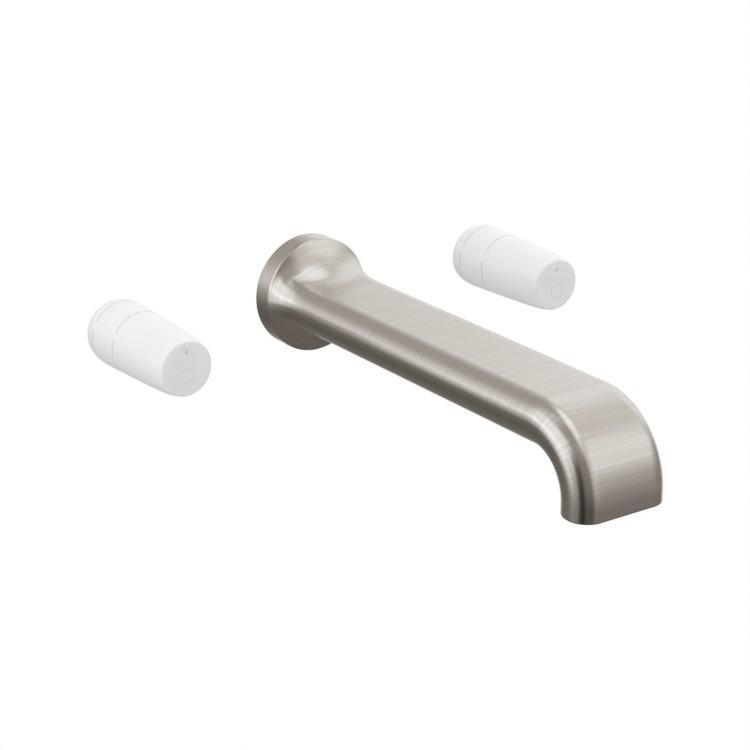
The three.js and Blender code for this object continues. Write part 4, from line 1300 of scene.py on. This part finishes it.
# ---- Guards -----------------------------------------------------------------------------------------
# White moulded caps that are pushed over the bonnets while the wall is tiled and painted. Two scored
# lines near the wall show where the tile may come to, and four ribs inside hold the cap straight.

GUARD_WALL = 1.5
GUARD_BASE = 14.0  # radius at the back edge
# How much wider than its back edge the guard is, at distances out of the wall.
GUARD_SWELL = [(0, 0), (1.5, 0.6), (7.5, 1.4), (24.5, 0.95), (36, 0.6), (48, 0.1), (57, -0.5)]
GUARD_NOSE_SWELL = -1.5
GUARD_NOSE_ROUND = 1.0
GUARD_INNER_ROUND = 0.3
GUARD_STEPS = 120  # round the guard
SWELL_STEPS = 7  # between two of the swell's distances
NOSE_STEPS = 8
SCORE_OUTS = (7.5, 24.5)
SCORE_WIDTH = 0.55
SCORE_DEPTH = 0.9
SCORE_GAPS = (36, 156, 216, 336)  # degrees round from +X
SCORE_GAP_WIDTH = 3.8
SCORE_GAP_REACH = (10, 20)  # from the guard's middle, to take in the whole wall
RIBS = 4
RIB_WIDTH = 1.6
RIB_OUTS = (1.0, 20.0)
RIB_PLAY = 0.3  # round the bonnet's sleeve
GATE_RADIUS = 0.95  # where the plastic was let into the mould
GATE_UP = 7.6
GATE_DEPTH = 0.9
EJECTOR_RING = (2.9, 3.4)  # inner and outer radius of the mark that an ejector pin leaves
EJECTOR_DOWN = 3.0
EJECTOR_DEPTH = 0.25


def smooth_line(knots, steps):
    """Points on a smooth curve through some knots."""
    points = []
    for i in range(len(knots) - 1):
        before = knots[max(0, i - 1)]
        after = knots[min(len(knots) - 1, i + 2)]
        first = knots[i]
        last = knots[i + 1]
        handle_1 = first + (last - before) / 6
        handle_2 = last - (after - first) / 6
        points += interpolate_bezier(first, handle_1, handle_2, last, steps)[:-1]
    return points + [knots[-1]]


guard_length = -limits("hot_guard")[0].y


def guard_line(inset):
    """The guard's side from its back edge to its nose, as (radius, out) points."""
    round_radius = max(GUARD_NOSE_ROUND - inset, GUARD_INNER_ROUND)
    nose_radius = GUARD_BASE + GUARD_NOSE_SWELL - inset
    nose_start = guard_length - inset - round_radius
    knots = [Vector((GUARD_BASE + swell - inset, out)) for out, swell in GUARD_SWELL]
    knots.append(Vector((nose_radius, nose_start)))
    points = [(point.x, point.y) for point in smooth_line(knots, SWELL_STEPS)]
    for i in range(1, NOSE_STEPS + 1):
        angle = QUARTER * i / NOSE_STEPS
        points.append((
            nose_radius - round_radius * (1 - math.cos(angle)),
            nose_start + round_radius * math.sin(angle),
        ))
    return points


guard_plastic = mottled(
    "guard_white", (0.86, 0.86, 0.865), (0.93, 0.93, 0.935), 0.40, 0.30, 45, 2200, 0.000006,
)


def score(out, radius):
    """The four arcs of a scored line at a distance out, as a piece to cut away."""
    start = out - SCORE_WIDTH / 2
    end = out + SCORE_WIDTH / 2
    floor = radius - SCORE_DEPTH
    line = make_piece(turned([
        (floor, start), (radius + PAST, start), (radius + PAST, end), (floor, end),
    ], closed=True, steps=GUARD_STEPS), "scored_line")
    inner, outer = SCORE_GAP_REACH
    for angle in SCORE_GAPS:
        gap = block(
            (inner, -out - PAST, -SCORE_GAP_WIDTH / 2), (outer, -out + PAST, SCORE_GAP_WIDTH / 2),
        )
        place(gap, Matrix.Rotation(-math.radians(angle), 4, "Y"), 0, 0, 0)
        combine(line, "DIFFERENCE", gap)
    return line


for side in ("hot", "cold"):
    node = f"{side}_guard"
    outside = guard_line(0)
    inside = guard_line(GUARD_WALL)
    nose = outside[-1][1]
    guard = turned([(0, 0), *outside, (0, nose)], steps=GUARD_STEPS)
    guard = make_piece(guard, f"{side}_rough_in_guard")
    hollow = [(0, -PAST), (inside[0][0], -PAST), *inside, (0, inside[-1][1])]
    combine(guard, "DIFFERENCE", turned(hollow, steps=GUARD_STEPS))
    gate = rod(GATE_RADIUS, nose - GATE_DEPTH, nose + PAST, 24)
    inner_ring, outer_ring = EJECTOR_RING
    ejector = turned([
        (inner_ring, nose - EJECTOR_DEPTH), (outer_ring, nose - EJECTOR_DEPTH),
        (outer_ring, nose + PAST), (inner_ring, nose + PAST),
    ], closed=True)
    place(gate, OUTWARDS, 0, 0, GATE_UP)
    place(ejector, OUTWARDS, 0, 0, -EJECTOR_DOWN)
    combine(guard, "DIFFERENCE", gate, ejector)
    for out in SCORE_OUTS:
        radius = max(radius for radius, at in outside if abs(at - out) < 1.5)
        combine(guard, "DIFFERENCE", score(out, radius))
    ribs = []
    rib_start, rib_end = RIB_OUTS
    for i in range(RIBS):
        rib = block(
            (BONNET_SLEEVE_RADIUS + RIB_PLAY, -rib_end, -RIB_WIDTH / 2),
            (GUARD_BASE + 0.2, -rib_start, RIB_WIDTH / 2),
        )
        turn = Matrix.Rotation((i + 0.5) * 2 * math.pi / RIBS, 4, "Y")
        ribs.append(place(rib, turn, 0, 0, 0))
    combine(guard, "UNION", *ribs)
    slide(guard, axis_of(side))
    give(guard, guard_plastic, "guard_plastic", f"{side}_guard_cap", node)


# ---- Studio -----------------------------------------------------------------------------------------
# The finished wall and the pale floor are plain white sheets, clear from behind. The metal mirrors a dim
# room with soft boxes and dark screens, and what isn't shiny has nearly even light.

BOX_SOFTNESS = 8  # degrees over which a box's edge fades
SCREEN_SOFTNESS = 16
FLOOR_SIDE = (-35, 0.17)  # height above the horizon in degrees, and brightness, at the room's dark end
CEILING_SIDE = (22, 0.82)  # the same at its bright end
# Each box and screen has its angle round from +Y towards +X, its height above the horizon, and half its
# width and height, in degrees. Then comes the light that a box adds, or the share that a screen stops.
BOXES = [
    (-75, 27, 27, 16, 0.42),
    (-64, 0, 17, 9, 0.62),
    (55, 3, 29, 41, 0.28),
    (98, 77, 74, 12, 0.50),
    (134, 30, 19, 10, 0.28),
    (41, -18, 28, 8, 0.45),
]
SCREENS = [
    (-150, 5, 22, 34, 0.62),
    (-121, -9, 7, 28, 0.88),
    (3, 53, 28, 27, 0.42),
    (109, -1, 24, 3, 0.36),
    (-125, 67, 35, 10, 0.46),
    (-30, -20, 16, 13, 0.34),
]
WARM_SHADE = (1.0, 0.885, 0.79, 1)
COOL_LIGHT = (0.98, 1.0, 1.02, 1)


def patch(group, round_angle, height, place_and_size, softness):
    """1 inside a patch of the room, fading to 0 round it."""
    middle_round, middle_height, half_round, half_height = (math.radians(a) for a in place_and_size)
    away = tree_node(group, "Math", {0: round_angle, 1: middle_round}, operation="SUBTRACT")
    wrapped = tree_node(group, "Math", {0: away.outputs[0], 1: math.pi, 2: -math.pi}, operation="WRAP")
    lift = tree_node(group, "Math", {0: height, 1: middle_height}, operation="SUBTRACT")
    parts = []
    for offset, half in ((wrapped, half_round), (lift, half_height)):
        size = tree_node(group, "Math", {0: offset.outputs[0]}, operation="ABSOLUTE")
        parts.append(tree_node(group, "MapRange", {
            "Value": size.outputs[0], "From Min": half, "From Max": half + math.radians(softness),
            "To Min": 1.0, "To Max": 0.0,
        }, interpolation_type="SMOOTHSTEP"))
    both = tree_node(
        group, "Math", {0: parts[0].outputs[0], 1: parts[1].outputs[0]}, operation="MULTIPLY",
    )
    return both.outputs[0]


def room_group():
    """What the metal mirrors in a direction: a room that is dim below, with boxes and dark screens."""
    group, entry, result = new_group("room", [("Direction", "Vector")], [("Color", "Color")])
    direction = tree_node(group, "SeparateXYZ", {0: entry["Direction"]})
    x, y, z = direction.outputs
    round_angle = tree_node(group, "Math", {0: x, 1: y}, operation="ARCTAN2").outputs[0]
    height = tree_node(group, "Math", {0: z}, operation="ARCSINE").outputs[0]
    low_height, low_level = FLOOR_SIDE
    high_height, high_level = CEILING_SIDE
    level = tree_node(group, "MapRange", {
        "Value": height, "From Min": math.radians(low_height), "From Max": math.radians(high_height),
        "To Min": low_level, "To Max": high_level,
    }, interpolation_type="SMOOTHSTEP").outputs[0]
    for *place_and_size, strength in BOXES:
        box = patch(group, round_angle, height, place_and_size, BOX_SOFTNESS)
        lit = tree_node(group, "Math", {0: box, 1: strength, 2: level}, operation="MULTIPLY_ADD")
        level = lit.outputs[0]
    for *place_and_size, dimming in SCREENS:
        screen = patch(group, round_angle, height, place_and_size, SCREEN_SOFTNESS)
        let_through = tree_node(group, "Math", {0: screen, 1: -dimming, 2: 1.0}, operation="MULTIPLY_ADD")
        dimmed = tree_node(group, "Math", {0: level, 1: let_through.outputs[0]}, operation="MULTIPLY")
        level = dimmed.outputs[0]
    warmth = tree_node(group, "MapRange", {"Value": level, "From Min": 0.15, "From Max": 1.25})
    tint = tree_node(
        group, "Mix", {0: warmth.outputs[0], 6: WARM_SHADE, 7: COOL_LIGHT}, data_type="RGBA",
    )
    colour = tree_node(group, "VectorMath", {0: tint.outputs[2], "Scale": level}, operation="SCALE")
    group.links.new(colour.outputs[0], result["Color"])
    return group


room = room_group()


def sheet_material(name, is_wall):
    """White to the camera and clear from behind. What mirrors the wall is shown the room instead.

    The room is looked up by the way that the mirrored ray goes, so it stays still when the camera moves.
    """
    material = bpy.data.materials.new(name)
    material.use_nodes = True
    tree = material.node_tree
    tree.nodes.remove(tree.nodes["Principled BSDF"])
    output = tree.nodes["Material Output"]
    geometry = tree_node(tree, "NewGeometry")
    front = tree_node(tree, "Emission", {"Color": (1, 1, 1, 1), "Strength": 1.0})
    if is_wall:
        onwards = tree_node(
            tree, "VectorMath", {0: geometry.outputs["Incoming"], "Scale": -1.0}, operation="SCALE",
        )
        mirrored = tree_node(tree, "Group", {"Direction": onwards.outputs[0]}, node_tree=room)
        room_glow = tree_node(tree, "Emission", {"Color": mirrored.outputs[0], "Strength": 1.0})
        rays = tree_node(tree, "LightPath")
        front = tree_node(tree, "MixShader", {
            0: rays.outputs["Is Glossy Ray"], 1: front.outputs[0], 2: room_glow.outputs[0],
        })
    clear = tree_node(tree, "BsdfTransparent")
    mixed = tree_node(tree, "MixShader", {
        0: geometry.outputs["Backfacing"], 1: front.outputs[0], 2: clear.outputs[0],
    })
    tree.links.new(mixed.outputs[0], output.inputs["Surface"])
    return material


def sheet(name, size, turn, middle, is_wall):
    """A square sheet of the studio, in metres, that gives the object no light of its own."""
    bm = bmesh.new()
    bmesh.ops.create_grid(bm, x_segments=1, y_segments=1, size=size / 2, matrix=turn)
    place(bm, OUTWARDS, *middle)
    mesh = bpy.data.meshes.new(name)
    bm.to_mesh(mesh)
    bm.free()
    made = bpy.data.objects.new(name, mesh)
    bpy.context.scene.collection.objects.link(made)
    made.data.materials.append(sheet_material(name, is_wall))
    for kind in ("diffuse", "transmission", "volume_scatter", "shadow"):
        setattr(made, "visible_" + kind, False)
    made.visible_glossy = is_wall


sheet("finished_wall", 3.0, Matrix.Rotation(QUARTER, 4, "X"), middle=(0, 0.0003, 0), is_wall=True)
sheet("pale_floor", 8.0, Matrix.Identity(4), middle=(0, 0, -0.45), is_wall=False)

EVEN_LIGHT = 0.86  # brightness of what lights the plastics
LIGHT_LEAN = (0.0, 0.13, 0.12)  # how much brighter it is in a direction
EVEN_COLOUR = (1.0, 0.99, 0.975, 1)


def studio_world():
    """White to the camera, the room to mirrors, and nearly even light, stronger from above, to the rest."""
    world = bpy.data.worlds.new("studio")
    bpy.context.scene.world = world
    world.use_nodes = True
    tree = world.node_tree
    direction = tree_node(tree, "TexCoord").outputs["Generated"]
    mirrored = tree_node(tree, "Group", {"Direction": direction}, node_tree=room)
    to_metal = tree_node(tree, "Background", {"Color": mirrored.outputs[0], "Strength": 1.0})
    lean = tree_node(tree, "VectorMath", {0: direction, 1: LIGHT_LEAN}, operation="DOT_PRODUCT")
    level = tree_node(tree, "Math", {0: lean.outputs["Value"], 1: EVEN_LIGHT}, operation="ADD")
    to_plastic = tree_node(tree, "Background", {"Color": EVEN_COLOUR, "Strength": level.outputs[0]})
    rays = tree_node(tree, "LightPath")
    lit = tree_node(tree, "MixShader", {
        0: rays.outputs["Is Glossy Ray"], 1: to_plastic.outputs[0], 2: to_metal.outputs[0],
    })
    to_camera = tree_node(tree, "Background", {"Color": (1, 1, 1, 1), "Strength": 1.0})
    mixed = tree_node(tree, "MixShader", {
        0: rays.outputs["Is Camera Ray"], 1: lit.outputs[0], 2: to_camera.outputs[0],
    })
    tree.links.new(mixed.outputs[0], tree.nodes["World Output"].inputs["Surface"])


studio_world()


def fill_light(name, at, size, power):
    """A large soft lamp that lights the plastics and the brass without showing in the nickel."""
    lamp = bpy.data.lights.new(name, "AREA")
    lamp.shape = "DISK"
    lamp.size = size
    lamp.energy = power
    made = bpy.data.objects.new(name, lamp)
    made.location = at
    made.rotation_mode = "QUATERNION"
    made.rotation_quaternion = (-Vector(at)).to_track_quat("-Z", "Y")
    bpy.context.scene.collection.objects.link(made)
    made.visible_camera = False
    made.visible_glossy = False


fill_light("fill_over_left", at=(-0.9, -0.4, 1.1), size=0.9, power=1.5)
fill_light("fill_over_right", at=(0.9, -0.2, 1.0), size=0.9, power=1.0)

CAMERA_PLACE = Vector((-0.5415, -0.8329, 0.3244))
CAMERA_AIM = Vector((-0.0043, -0.0643, -0.0230))
CAMERA_LENS = 105.75  # millimetres, on a sensor 36 mm wide

camera_data = bpy.data.cameras.new("camera")
camera_data.lens = CAMERA_LENS
camera_data.sensor_width = 36
camera = bpy.data.objects.new("camera", camera_data)
camera.location = CAMERA_PLACE
camera.rotation_mode = "QUATERNION"
camera.rotation_quaternion = (CAMERA_AIM - CAMERA_PLACE).to_track_quat("-Z", "Y")
bpy.context.scene.collection.objects.link(camera)
bpy.context.scene.camera = camera
bpy.context.scene.view_settings.view_transform = "Standard"
